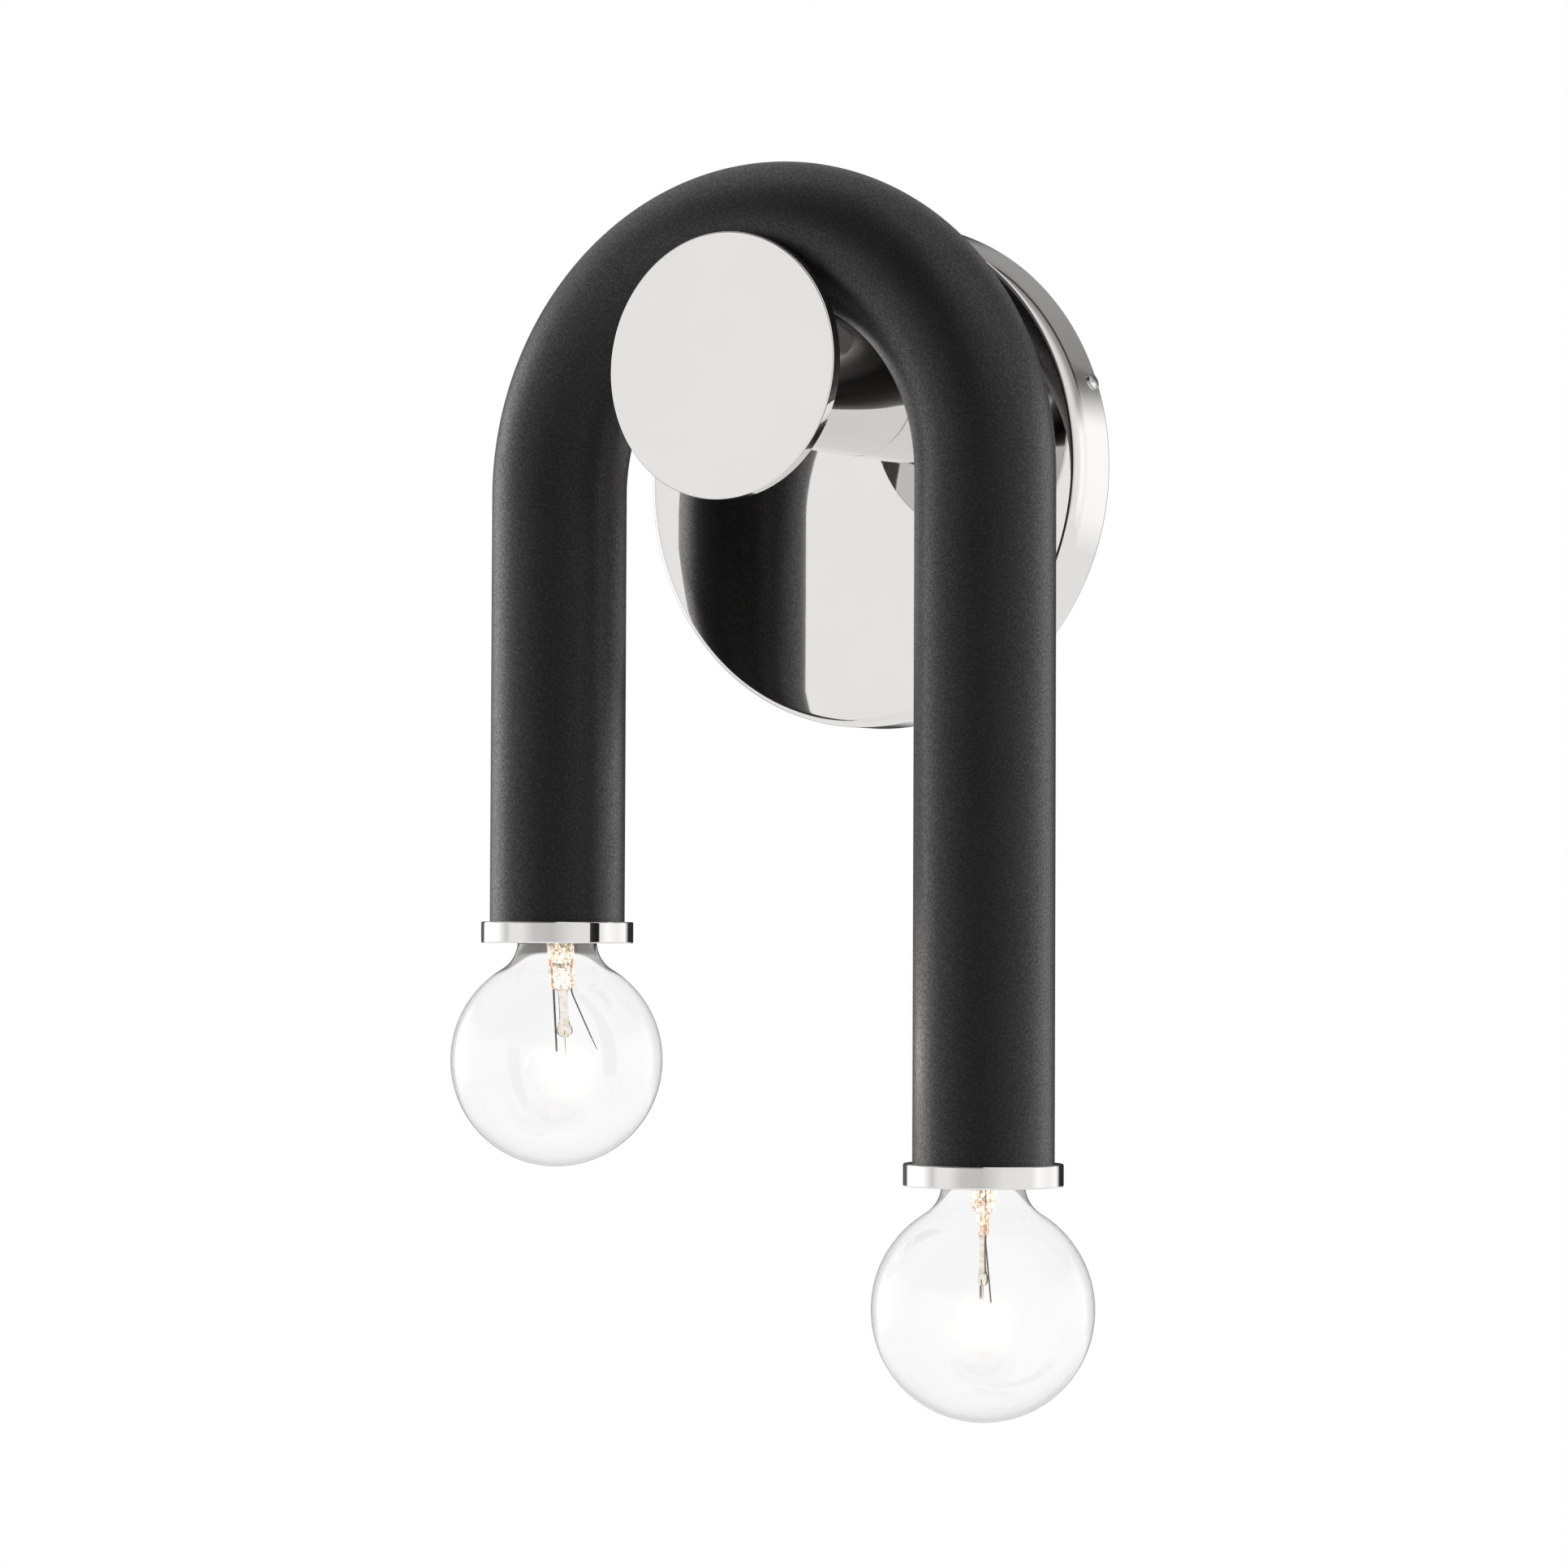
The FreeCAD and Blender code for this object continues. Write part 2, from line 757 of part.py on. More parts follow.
def lamp_insulator():
    """Tapered insulator between the screw cap and the tip."""
    floor = base_start + base_length
    return spun([
        (tip_stem_radius + fit, floor),
        (base_radius - base_taper, floor),
        (insulator_top_radius, floor + insulator_height),
        (tip_stem_radius + fit, floor + insulator_height),
    ])


def lamp_tip():
    """Soldered centre contact with a stem through the insulator."""
    floor = base_start + base_length
    face = floor + insulator_height
    return spun([
        (0, floor),
        (tip_stem_radius, floor),
        (tip_stem_radius, face),
        (tip_radius, face),
        dome_step(tip_radius, face, tip_height),
    ])


def upright_edges(shape):
    """Edges of a shape that run along Z."""
    found = []
    for edge in shape.Edges:
        tangent = edge.tangentAt(edge.FirstParameter)
        if math.hypot(tangent.x, tangent.y) < abs(tangent.z):
            found.append(edge)
    return found


def lamp_mount():
    """Glass mount: a flared tube closed by a flat pinch, with a post and a button below it."""
    stub_bore = neck_radius - neck_shoulder_radius - glass_wall - fit
    inner = mount_radius - mount_wall
    tube = spun([
        (inner, mount_top),
        (stub_bore, mount_top),
        (stub_bore, mount_top - mount_wall),
        (mount_radius, mount_top - mount_flare_height),
        (mount_radius, -mount_tube_end + mount_wall),
        arc_step(inner, -mount_tube_end + mount_wall, mount_wall, 0, -90),
        (0, -mount_tube_end),
        (0, -mount_tube_end + mount_wall),
        (inner, -mount_tube_end + mount_wall),
    ])
    pinch_end = -mount_tube_end - pinch_length
    pinch = Part.makeBox(
        pinch_width,
        pinch_depth,
        pinch_length + mount_wall,
        V(-pinch_width / 2, -pinch_depth / 2, pinch_end),
    )
    pinch = pinch.makeFillet(pinch_corner_radius, upright_edges(pinch))
    button_centre = V(0, 0, pinch_end - post_length)
    post = rod(V(0, 0, pinch_end + mount_wall), button_centre, post_radius)
    button = Part.makeSphere(button_radius, button_centre)
    mount = tube.fuse([pinch, post, button])
    for side in (-1, 1):
        top = V(side * lead_offset, 0, -mount_tube_end + mount_wall)
        bottom = V(side * lead_offset, 0, pinch_end)
        mount = mount.cut(through_hole(top, bottom, lead_radius + fit))
    support_hole = rod(
        V(0, 0, button_centre.z - button_radius - overrun),
        V(0, 0, button_centre.z),
        support_radius + fit,
    )
    return mount.cut(support_hole).removeSplitter()


def filament_end(side):
    """End of a lead wire, where it holds the filament: one lead stays straight and the other splays."""
    return V(lead_spread if side > 0 else -lead_offset, 0, -filament_drop)


def filament_arc():
    """Ends, lowest point, centre and radius of the filament's middle line."""
    inset = lead_radius + 2 * fit + filament_radius
    start = filament_end(-1).add(V(inset, 0, 0))
    end = filament_end(1).sub(V(inset, 0, 0))
    middle = start.add(end).multiply(0.5)
    half_span = end.sub(start).Length / 2
    radius = (half_span ** 2 + filament_sag ** 2) / (2 * filament_sag)
    lowest = middle.sub(V(0, 0, filament_sag))
    return start, lowest, end, lowest.add(V(0, 0, radius)), radius


def lamp_leads():
    """Straight lead wire, splayed lead wire, both through the pinch, and the support from the button."""
    pinch_end = -mount_tube_end - pinch_length
    knee = V(lead_offset, 0, pinch_end - lead_straight)
    path = rounded_path([V(lead_offset, 0, mount_top), knee, filament_end(1)], [lead_bend_radius])
    straight = rod(V(-lead_offset, 0, mount_top), filament_end(-1), lead_radius)
    splayed = swept_rod(path, lead_radius)
    centre, radius = filament_arc()[3:]
    crossing = centre.z - math.sqrt(radius ** 2 - centre.x ** 2)
    hook = V(0, 0, crossing + support_gap())
    support = rod(V(0, 0, pinch_end - post_length), hook, support_radius)
    return Part.makeCompound([straight, splayed, support])


def support_gap():
    """Height of the support's end over the filament's middle line, with the line's slope there."""
    centre, radius = filament_arc()[3:]
    slope = math.asin((abs(centre.x) + support_radius) / radius)
    return (filament_radius + fit) / math.cos(slope) + support_radius * math.tan(slope)


def lamp_filament():
    """Filament as a plain bar, sagging in an arc between the lead wires."""
    start, lowest, end = filament_arc()[:3]
    path = Part.Wire(Part.Arc(start, lowest, end).toShape())
    return swept_rod(path, filament_radius)


def socket_wire(side, polarity):
    """One insulated wire from a socket, over the crown, through the stem and into a connector."""
    leg_x = side * arch_radius
    drop = left_leg_drop if side < 0 else right_leg_drop
    collar_face = arch_rise - drop - collar_thickness
    start_z = collar_face + socket_top - lead_hole_depth + fit
    spread_z = collar_face + socket_top + spread_start
    lane = polarity * half_pitch
    socket_reach = tube_reach - polarity * lead_hole_offset
    lane_reach = tube_reach - lane
    lane_x = side * half_pitch
    lane_z = stem_rise + lane
    near_reach = plate_thickness + wall_clearance + wire_radius
    turn_reach = near_reach if side == polarity * -1 else near_reach + wire_pitch
    connector_x = polarity * connector_side
    connector_reach = connector_centre_reach() - (half_pitch if side == polarity * -1 else -half_pitch)
    mouth_z = stem_rise - connector_drop
    points = [
        at(leg_x, socket_reach, start_z),
        at(leg_x, socket_reach, spread_z),
        at(leg_x, lane_reach, spread_z + spread_length),
        at(leg_x, lane_reach, crown_rise),
        at(lane_x, lane_reach, crown_rise),
        at(lane_x, lane_reach, lane_z),
        at(lane_x, turn_reach, lane_z),
        at(connector_x, turn_reach, lane_z),
        at(connector_x, connector_reach, mouth_z + connector_bore_depth),
        at(connector_x, connector_reach, mouth_z - connector_bore_depth * wire_entry_share),
    ]
    radii = [
        leg_bend_radius,
        leg_bend_radius,
        arch_radius * wire_arch_share,
        crown_bend_radius,
        stem_bend_radius,
        canopy_bend_radius,
        canopy_bend_radius,
        canopy_bend_radius,
    ]
    return swept_rod(rounded_path(points, radii), wire_radius)


def connector_centre_reach():
    """Reach of a connector's axis, clear of the plate behind it."""
    return plate_thickness + connector_gap + connector_mouth_radius


def wire_pair(side):
    """Both wires of one socket."""
    return Part.makeCompound([socket_wire(side, -1), socket_wire(side, 1)])


def wire_connectors():
    """Two twist-on connectors in the canopy, mouths up."""
    bell = spun([
        (0, -connector_length),
        (connector_end_radius, -connector_length),
        (connector_mouth_radius, 0),
        (connector_bore_radius, 0),
        (connector_bore_radius, -connector_bore_depth),
        (0, -connector_bore_depth),
    ])
    mouth_z = stem_rise - connector_drop
    pair = []
    for side in (-1, 1):
        pair.append(placed(bell, at(side * connector_side, connector_centre_reach(), mouth_z), up))
    return Part.makeCompound(pair)


def save(name, shape):
    """Write one sub-part and report its solids and volume."""
    shape.exportStep(os.path.join("parts", name + ".step"))
    print(name, len(shape.Solids), "solids,", round(shape.Volume), "cubic mm, valid", shape.isValid())


def build_canopy_group():
    """Everything at the wall."""
    save("canopy", canopy())
    save("mounting_plate", mounting_plate())
    save("side_screw_right", side_screw(1))
    save("side_screw_left", side_screw(-1))
    save("ground_screw", ground_screw())
    save("ground_lead", ground_lead())
    save("wire_connectors", wire_connectors())


def build_stem_group():
    """The peg, its disc and what clamps it to the canopy."""
    save("stem_tube", stem_tube())
    save("stem_plug", stem_plug())
    save("stem_nipple", stem_nipple())
    save("stem_lock_washer", stem_lock_washer())
    save("stem_nut", stem_nut())
    save("front_disc", front_disc())


def build_arm_group():
    """The bent tube, its joint on the stem and the wires inside."""
    save("arm_tube", arm_tube())
    save("crown_saddle", crown_saddle())
    save("crown_bush", crown_bush())
    save("crown_nipple", crown_nipple())
    save("crown_seat", crown_seat())
    save("crown_nut", crown_nut())
    save("left_wires", wire_pair(-1))
    save("right_wires", wire_pair(1))


def build_lamp_group(name, side, drop, lamp_angle):
    """Collar, socket and lamp on one foot of the arm."""
    foot = at(side * arch_radius, tube_reach, arch_rise - drop - collar_thickness)
    square = FreeCAD.Placement(foot, FreeCAD.Rotation(up, 0))
    turned = FreeCAD.Placement(foot, FreeCAD.Rotation(up, lamp_angle))
    pieces = (
        ("collar", collar(), square),
        ("retaining_ring", retaining_ring(), square),
        ("socket_body", socket_body(), square),
        ("socket_shell", socket_shell(), square),
        ("centre_contact", centre_contact(), square),
        ("lamp_glass", lamp_glass(), turned),
        ("lamp_base", lamp_base(), turned),
        ("lamp_insulator", lamp_insulator(), turned),
        ("lamp_tip", lamp_tip(), turned),
        ("lamp_mount", lamp_mount(), turned),
        ("lamp_leads", lamp_leads(), turned),
        ("lamp_filament", lamp_filament(), turned),
    )
    for piece_name, shape, placement in pieces:
        shape.Placement = placement
        save(name + "_" + piece_name, shape)


os.makedirs("parts", exist_ok=True)
build_canopy_group()
build_stem_group()
build_arm_group()
build_lamp_group("left", -1, left_leg_drop, left_lamp_angle)
build_lamp_group("right", 1, right_leg_drop, right_lamp_angle)
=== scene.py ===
"""Looks of a two-lamp wall sconce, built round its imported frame.

Lengths are metres in the row frame. The origin is the middle of the canopy on the wall,
+X points right, +Y into the wall and +Z up.
"""

import logging
import math
from collections.abc import Callable, Sequence
from dataclasses import dataclass
from enum import Enum

import bpy
from mathutils import Matrix, Vector


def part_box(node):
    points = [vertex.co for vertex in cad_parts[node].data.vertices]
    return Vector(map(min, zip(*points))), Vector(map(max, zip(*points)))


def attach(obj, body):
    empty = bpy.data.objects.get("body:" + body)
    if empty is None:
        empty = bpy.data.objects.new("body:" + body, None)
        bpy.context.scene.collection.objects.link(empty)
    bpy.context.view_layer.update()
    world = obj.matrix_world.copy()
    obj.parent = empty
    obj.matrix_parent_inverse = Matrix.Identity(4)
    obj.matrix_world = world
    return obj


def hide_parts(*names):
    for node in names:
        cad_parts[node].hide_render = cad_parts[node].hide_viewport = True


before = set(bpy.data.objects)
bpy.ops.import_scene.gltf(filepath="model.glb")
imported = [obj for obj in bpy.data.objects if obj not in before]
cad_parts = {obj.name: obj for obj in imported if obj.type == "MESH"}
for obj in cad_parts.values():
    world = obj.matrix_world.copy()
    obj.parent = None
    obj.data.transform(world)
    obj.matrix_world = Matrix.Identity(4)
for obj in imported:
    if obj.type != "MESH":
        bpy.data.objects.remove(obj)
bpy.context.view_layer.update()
LOG = logging.getLogger("wall_sconce")
MM = 0.001
ORIGIN = Vector((0, 0, 0))
RIGHT = Vector((1, 0, 0))
UP = Vector((0, 0, 1))
INTO_ROOM = Vector((0, -1, 0))
Colour = tuple[float, float, float]
Pair = tuple[float, float]
Object = bpy.types.Object
Socket = bpy.types.NodeSocket
Inputs = dict[str | int, object]
Sockets = bpy.types.bpy_prop_collection
Ends = Sequence[object]
WHITE: Colour = (1.0, 1.0, 1.0)
BLACK: Colour = (0.0, 0.0, 0.0)
UNIT: Pair = (0.0, 1.0)


class Side(Enum):
    """The two legs of the arm, with the lamp on each."""

    LEFT = "left"
    RIGHT = "right"

    def node(self, name: str) -> str:
        """Name of a CAD node on this side."""
        return f"{self.value}_{name}"

    @property
    def lamp_body(self) -> str:
        """The CAD body that this side's lamp rides on."""
        return f"{self.value}_lamp"

    @property
    def mouth(self) -> Vector:
        """Middle of this side's collar at its lower end."""
        low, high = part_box(self.node("collar"))
        return Vector(((low.x + high.x) / 2, (low.y + high.y) / 2, low.z))


def middle(node: str) -> Vector:
    """Middle of a CAD node's box."""
    return sum(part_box(node), ORIGIN) / 2


def half_width(node: str) -> float:
    """Half of a CAD node's width from left to right."""
    low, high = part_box(node)
    return (high.x - low.x) / 2


class Bench:
    """Blender's own mesh tools, used on one piece at a time."""

    SPECK = 0.5 * MM
    MERGE_DISTANCE = 0.0005 * MM
    CREASE_DEGREES = 38.0
    DRILL_FACETS = 40

    @staticmethod
    def clear() -> None:
        """Leave edit mode and deselect every object."""
        if bpy.context.mode != "OBJECT":
            bpy.ops.object.mode_set(mode="OBJECT")
        bpy.ops.object.select_all(action="DESELECT")

    @classmethod
    def take(cls, piece: Object) -> None:
        """Select one piece alone and make it the active one.

        Args:
            piece: The piece to work on.
        """
        cls.clear()
        piece.select_set(True)
        bpy.context.view_layer.objects.active = piece

    @classmethod
    def edit_all(cls, piece: Object) -> None:
        """Open one piece in edit mode with its whole mesh selected."""
        cls.take(piece)
        bpy.ops.object.mode_set(mode="EDIT")
        bpy.ops.mesh.select_all(action="SELECT")

    @staticmethod
    def pick(piece: Object, test: Callable[[Vector], bool]) -> None:
        """Select vertices of the piece that is open in edit mode by their place.

        Args:
            piece: The piece in edit mode.
            test: Says of a place whether its vertex is picked.
        """
        bpy.ops.mesh.select_all(action="DESELECT")
        bpy.ops.object.mode_set(mode="OBJECT")
        for vertex in piece.data.vertices:
            vertex.select = test(piece.matrix_world @ vertex.co)
        bpy.ops.object.mode_set(mode="EDIT")

    @classmethod
    def close_seams(cls, piece: Object) -> None:
        """Merge the piece's doubled vertices and turn its faces outwards."""
        cls.edit_all(piece)
        bpy.ops.mesh.remove_doubles(threshold=cls.MERGE_DISTANCE)
        bpy.ops.mesh.normals_make_consistent(inside=False)
        cls.clear()

    @classmethod
    def modify(cls, piece: Object, kind: str, **settings: object) -> None:
        """Add a modifier and apply it at once.

        Args:
            piece: The piece to change.
            kind: Blender's name for the modifier.
            settings: The modifier's own settings.
        """
        cls.take(piece)
        modifier = piece.modifiers.new(kind.lower(), kind)
        for name, value in settings.items():
            setattr(modifier, name, value)
        bpy.ops.object.modifier_apply(modifier=modifier.name)

    @classmethod
    def thicken(cls, piece: Object, wall: float) -> None:
        """Give an open skin a wall that grows inwards from it."""
        cls.modify(piece, "SOLIDIFY", thickness=wall, offset=-1.0, use_even_offset=True)

    @classmethod
    def drill(cls, piece: Object, start: Vector, end: Vector, radius: float) -> None:
        """Cut a round hole between two points.

        Args:
            piece: The piece to drill.
            start: Where the drill starts.
            end: Where it stops.
            radius: Radius of the hole.
        """
        cls.clear()
        run = end - start
        bpy.ops.mesh.primitive_cylinder_add(
            vertices=cls.DRILL_FACETS,
            radius=radius,
            depth=run.length,
            location=(start + end) / 2,
            rotation=run.to_track_quat("Z", "Y").to_euler(),
        )
        cutter = bpy.context.object
        cls.modify(piece, "BOOLEAN", operation="DIFFERENCE", solver="EXACT", object=cutter)
        bpy.data.objects.remove(cutter)

    @classmethod
    def settle(cls, piece: Object) -> None:
        """Put the piece's place and turn into its mesh."""
        cls.take(piece)
        bpy.ops.object.transform_apply(location=True, rotation=True, scale=True)

    @classmethod
    def smooth(cls, piece: Object) -> None:
        """Settle the piece and shade it smooth between its creases."""
        cls.settle(piece)
        bpy.ops.object.shade_smooth_by_angle(angle=math.radians(cls.CREASE_DEGREES))

    @classmethod
    def polish(cls, piece: Object) -> None:
        """Smooth the piece, with its flat faces kept flat."""
        cls.smooth(piece)
        cls.modify(piece, "WEIGHTED_NORMAL", mode="FACE_AREA", keep_sharp=True)

    @classmethod
    def copy_to(cls, piece: Object, name: str, place: Vector, degrees: float = 0.0) -> Object:
        """Copy a piece, with a mesh of its own, to another place.

        Args:
            piece: The finished piece, round the origin's Z axis.
            name: Name of the copy.
            place: Where the copy's origin goes.
            degrees: The copy's turn about Z.

        Returns:
            The copy, with its place in its mesh.
        """
        copy = piece.copy()
        copy.data = piece.data.copy()
        copy.name = name
        copy.data.name = name
        bpy.context.scene.collection.objects.link(copy)
        copy.location = place
        copy.rotation_euler = (0, 0, math.radians(degrees))
        cls.settle(copy)
        return copy

    @classmethod
    def lean(cls, piece: Object, pivot: Vector, heading: float, degrees: float) -> None:
        """Tilt a piece a little, so that what hangs below a point moves sideways.

        Args:
            piece: The piece to tilt.
            pivot: The point that stays.
            heading: Which way it moves, in degrees from +X about Z.
            degrees: How far it tilts.
        """
        side = Matrix.Rotation(math.radians(heading), 3, "Z") @ RIGHT
        turn = Matrix.Rotation(math.radians(degrees), 4, side.cross(UP))
        piece.matrix_world = Matrix.Translation(pivot) @ turn @ Matrix.Translation(-pivot)
        cls.settle(piece)


class Drawing:
    """An open line drawn one vertex at a time in edit mode."""

    CORNER_SEGMENTS = 6
    CORNER_REACH = 4 * Bench.MERGE_DISTANCE

    def __init__(self, name: str, start: Vector) -> None:
        """Start with a small plane merged to one vertex.

        Args:
            name: Name of the piece that grows from the line.
            start: The line's first point.
        """
        Bench.clear()
        bpy.ops.mesh.primitive_plane_add(size=Bench.SPECK, location=start)
        self.piece = bpy.context.object
        self.piece.name = name
        self.here = start.copy()
        self.corners: list[tuple[Vector, float]] = []
        bpy.ops.object.mode_set(mode="EDIT")
        bpy.ops.mesh.merge(type="CENTER")

    def line(self, end: Vector, corner: float = 0.0) -> None:
        """Draw a straight stroke.

        Args:
            end: Where the stroke ends.
            corner: Radius that its end is rounded to later.
        """
        bpy.ops.mesh.extrude_region_move(TRANSFORM_OT_translate={"value": end - self.here})
        self.here = end.copy()
        if corner > 0:
            self.corners.append((self.here, corner))

    def arc(self, centre: Vector, axis: Vector, degrees: float, steps: int) -> None:
        """Draw a round stroke.

        Args:
            centre: The arc's centre.
            axis: The axis that the stroke turns about.
            degrees: How far it turns, right-handed about the axis.
            steps: Number of edges.
        """
        turn = math.radians(degrees)
        bpy.ops.mesh.spin(steps=steps, angle=-turn, center=centre, axis=axis)
        self.here = centre + Matrix.Rotation(turn, 3, axis) @ (self.here - centre)

    def round_corners(self) -> None:
        """Bevel each corner that was given a radius."""
        for place, radius in self.corners:
            Bench.pick(self.piece, lambda spot: (spot - place).length < self.CORNER_REACH)
            bpy.ops.mesh.bevel(offset=radius, segments=self.CORNER_SEGMENTS, affect="VERTICES")

    def as_wire(self, radius: float, resolution: int = 3) -> Object:
        """Make the line a round wire.

        Args:
            radius: Radius of the wire.
            resolution: Steps in a quarter of its section.

        Returns:
            The wire as a closed mesh.
        """
        self.round_corners()
        Bench.take(self.piece)
        bpy.ops.object.convert(target="CURVE")
        curve = bpy.context.object
        curve.data.bevel_depth = radius
        curve.data.bevel_resolution = resolution
        curve.data.use_fill_caps = True
        bpy.ops.object.convert(target="MESH")
        piece = bpy.context.object
        Bench.close_seams(piece)
        Bench.settle(piece)
        return piece


@dataclass(frozen=True)
class Line:
    """A straight stroke of a section, to a radius and a height, its end rounded if it has a corner."""

    radius: float
    height: float
    corner: float = 0.0


@dataclass(frozen=True)
class Arc:
    """A round stroke of a section about a centre, upwards from the radius direction in degrees."""

    radius: float
    height: float
    degrees: float
    steps: int = 12


class Lathe:
    """Turns a section round an axis."""

    def __init__(self, foot: Vector = ORIGIN, along: Vector = UP, facets: int = 144) -> None:
        """Set where heights start, which way they grow and the number of faces round a piece."""
        self.foot, self.along, self.facets = foot, along, facets

    def place(self, radius: float, height: float) -> Vector:
        """Point of the section plane at a radius and a height."""
        return self.foot + RIGHT * radius + self.along * height

    def turn(self, name: str, start: Line, strokes: Sequence[Line | Arc]) -> Object:
        """Draw a section and spin it all the way round.

        Args:
            name: Name of the piece.
            start: The section's first point.
            strokes: The strokes that follow it, back to the start for a ring.

        Returns:
            The turned piece, its seam and poles closed.
        """
        drawing = Drawing(name, self.place(start.radius, start.height))
        for stroke in strokes:
            spot = self.place(stroke.radius, stroke.height)
            if isinstance(stroke, Arc):
                drawing.arc(spot, RIGHT.cross(self.along), stroke.degrees, stroke.steps)
            else:
                drawing.line(spot, stroke.corner)
        drawing.round_corners()
        Bench.edit_all(drawing.piece)
        bpy.ops.mesh.remove_doubles(threshold=Bench.MERGE_DISTANCE)
        bpy.ops.mesh.select_all(action="SELECT")
        bpy.ops.mesh.spin(
            steps=self.facets, angle=math.tau, center=self.foot, axis=self.along, use_auto_merge=True
        )
        Bench.close_seams(drawing.piece)
        return drawing.piece

    def turn_ring(self, name: str, *corners: tuple[float, ...]) -> Object:
        """Turn a closed section that keeps clear of the axis, from what Line takes for each corner."""
        start, *others = (Line(*corner) for corner in corners)
        return self.turn(name, start, [*others, Line(start.radius, start.height)])


@dataclass(frozen=True)
class Thread:
    """A rolled thread on a thin tube, cut level at both ends."""

    depth: float
    pitch: float
    wall: float
    crest_points: int = 8
    facets: int = 64

    def roll(self, name: str, radius: float, length: float, floor: float) -> Object:
        """Make a threaded tube round the origin's Z axis.

        Args:
            name: Name of the piece.
            radius: Radius of its crests.
            length: Its length.
            floor: Height of its lower end.

        Returns:
            The tube, its wall grown inwards.
        """
        turns = math.ceil(length / self.pitch) + 2
        bottom = floor - self.pitch
        drawing = Drawing(name, Vector((radius, 0, bottom)))
        for step in range(1, turns * self.crest_points + 1):
            share = step / self.crest_points
            swing = (1 - math.cos(share * math.tau)) / 2
            drawing.line(Vector((radius - self.depth * swing, 0, bottom + share * self.pitch)))
        piece = drawing.piece
        Bench.settle(piece)
        Bench.modify(
            piece,
            "SCREW",
            axis="Z",
            angle=math.tau,
            screw_offset=self.pitch,
            steps=self.facets,
            render_steps=self.facets,
            use_merge_vertices=True,
            merge_threshold=Bench.MERGE_DISTANCE,
        )
        Bench.close_seams(piece)
        for height, side in ((floor, -1), (floor + length, 1)):
            Bench.edit_all(piece)
            bpy.ops.mesh.bisect(plane_co=(0, 0, height), plane_no=(0, 0, side), clear_outer=True)
        Bench.clear()
        Bench.thicken(piece, self.wall)
        return piece

    def stand(self, name: str, node: str) -> Object:
        """Make a polished tube like one of the left foot's CAD nodes.

        Args:
            name: Name of the piece.
            node: The CAD node whose width, height and place it has.

        Returns:
            The tube, with the collar's mouth at the origin.
        """
        low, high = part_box(node)
        tube = self.roll(name, (high.x - low.x) / 2, high.z - low.z, low.z - Side.LEFT.mouth.z)
        Bench.polish(tube)
        return tube


@dataclass(frozen=True)
class Ring:
    """A level section of a lofted piece: its height and its two half widths."""

    height: float
    half_width: float
    half_depth: float

    def at(self, height: float, wide: float = 1.0, deep: float = 1.0) -> "Ring":
        """The same ring at another height, its widths times two factors."""
        return Ring(height, self.half_width * wide, self.half_depth * deep)


def loft(name: str, rings: Sequence[Ring], sides: int, rounding: int) -> Object:
    """Grow a closed piece upwards or downwards from one oval ring to the next.

    Args:
        name: Name of the piece.
        rings: The sections, the first and last small enough to close.
        sides: Number of faces round it.
        rounding: Levels of subdivision.

    Returns:
        The piece, round the origin's Z axis.
    """
    first = rings[0]
    Bench.clear()
    bpy.ops.mesh.primitive_circle_add(vertices=sides, radius=first.half_width, location=UP * first.height)
    piece = bpy.context.object
    piece.name = name
    Bench.edit_all(piece)
    here = first
    for ring in rings[1:]:
        rise = UP * (ring.height - here.height)
        bpy.ops.mesh.extrude_region_move(TRANSFORM_OT_translate={"value": rise})
        bpy.ops.transform.resize(
            value=(ring.half_width / here.half_width, ring.half_depth / here.half_depth, 1),
            center_override=UP * ring.height,
        )
        here = ring
    bpy.ops.mesh.edge_face_add()
    slack = Bench.MERGE_DISTANCE
    reach = first.half_width + slack
    Bench.pick(piece, lambda spot: abs(spot.z - first.height) < slack and spot.xy.length < reach)
    bpy.ops.mesh.edge_face_add()
    Bench.close_seams(piece)
    Bench.settle(piece)
    if rounding > 0:
        Bench.modify(piece, "SUBSURF", levels=rounding, render_levels=rounding)
    return piece


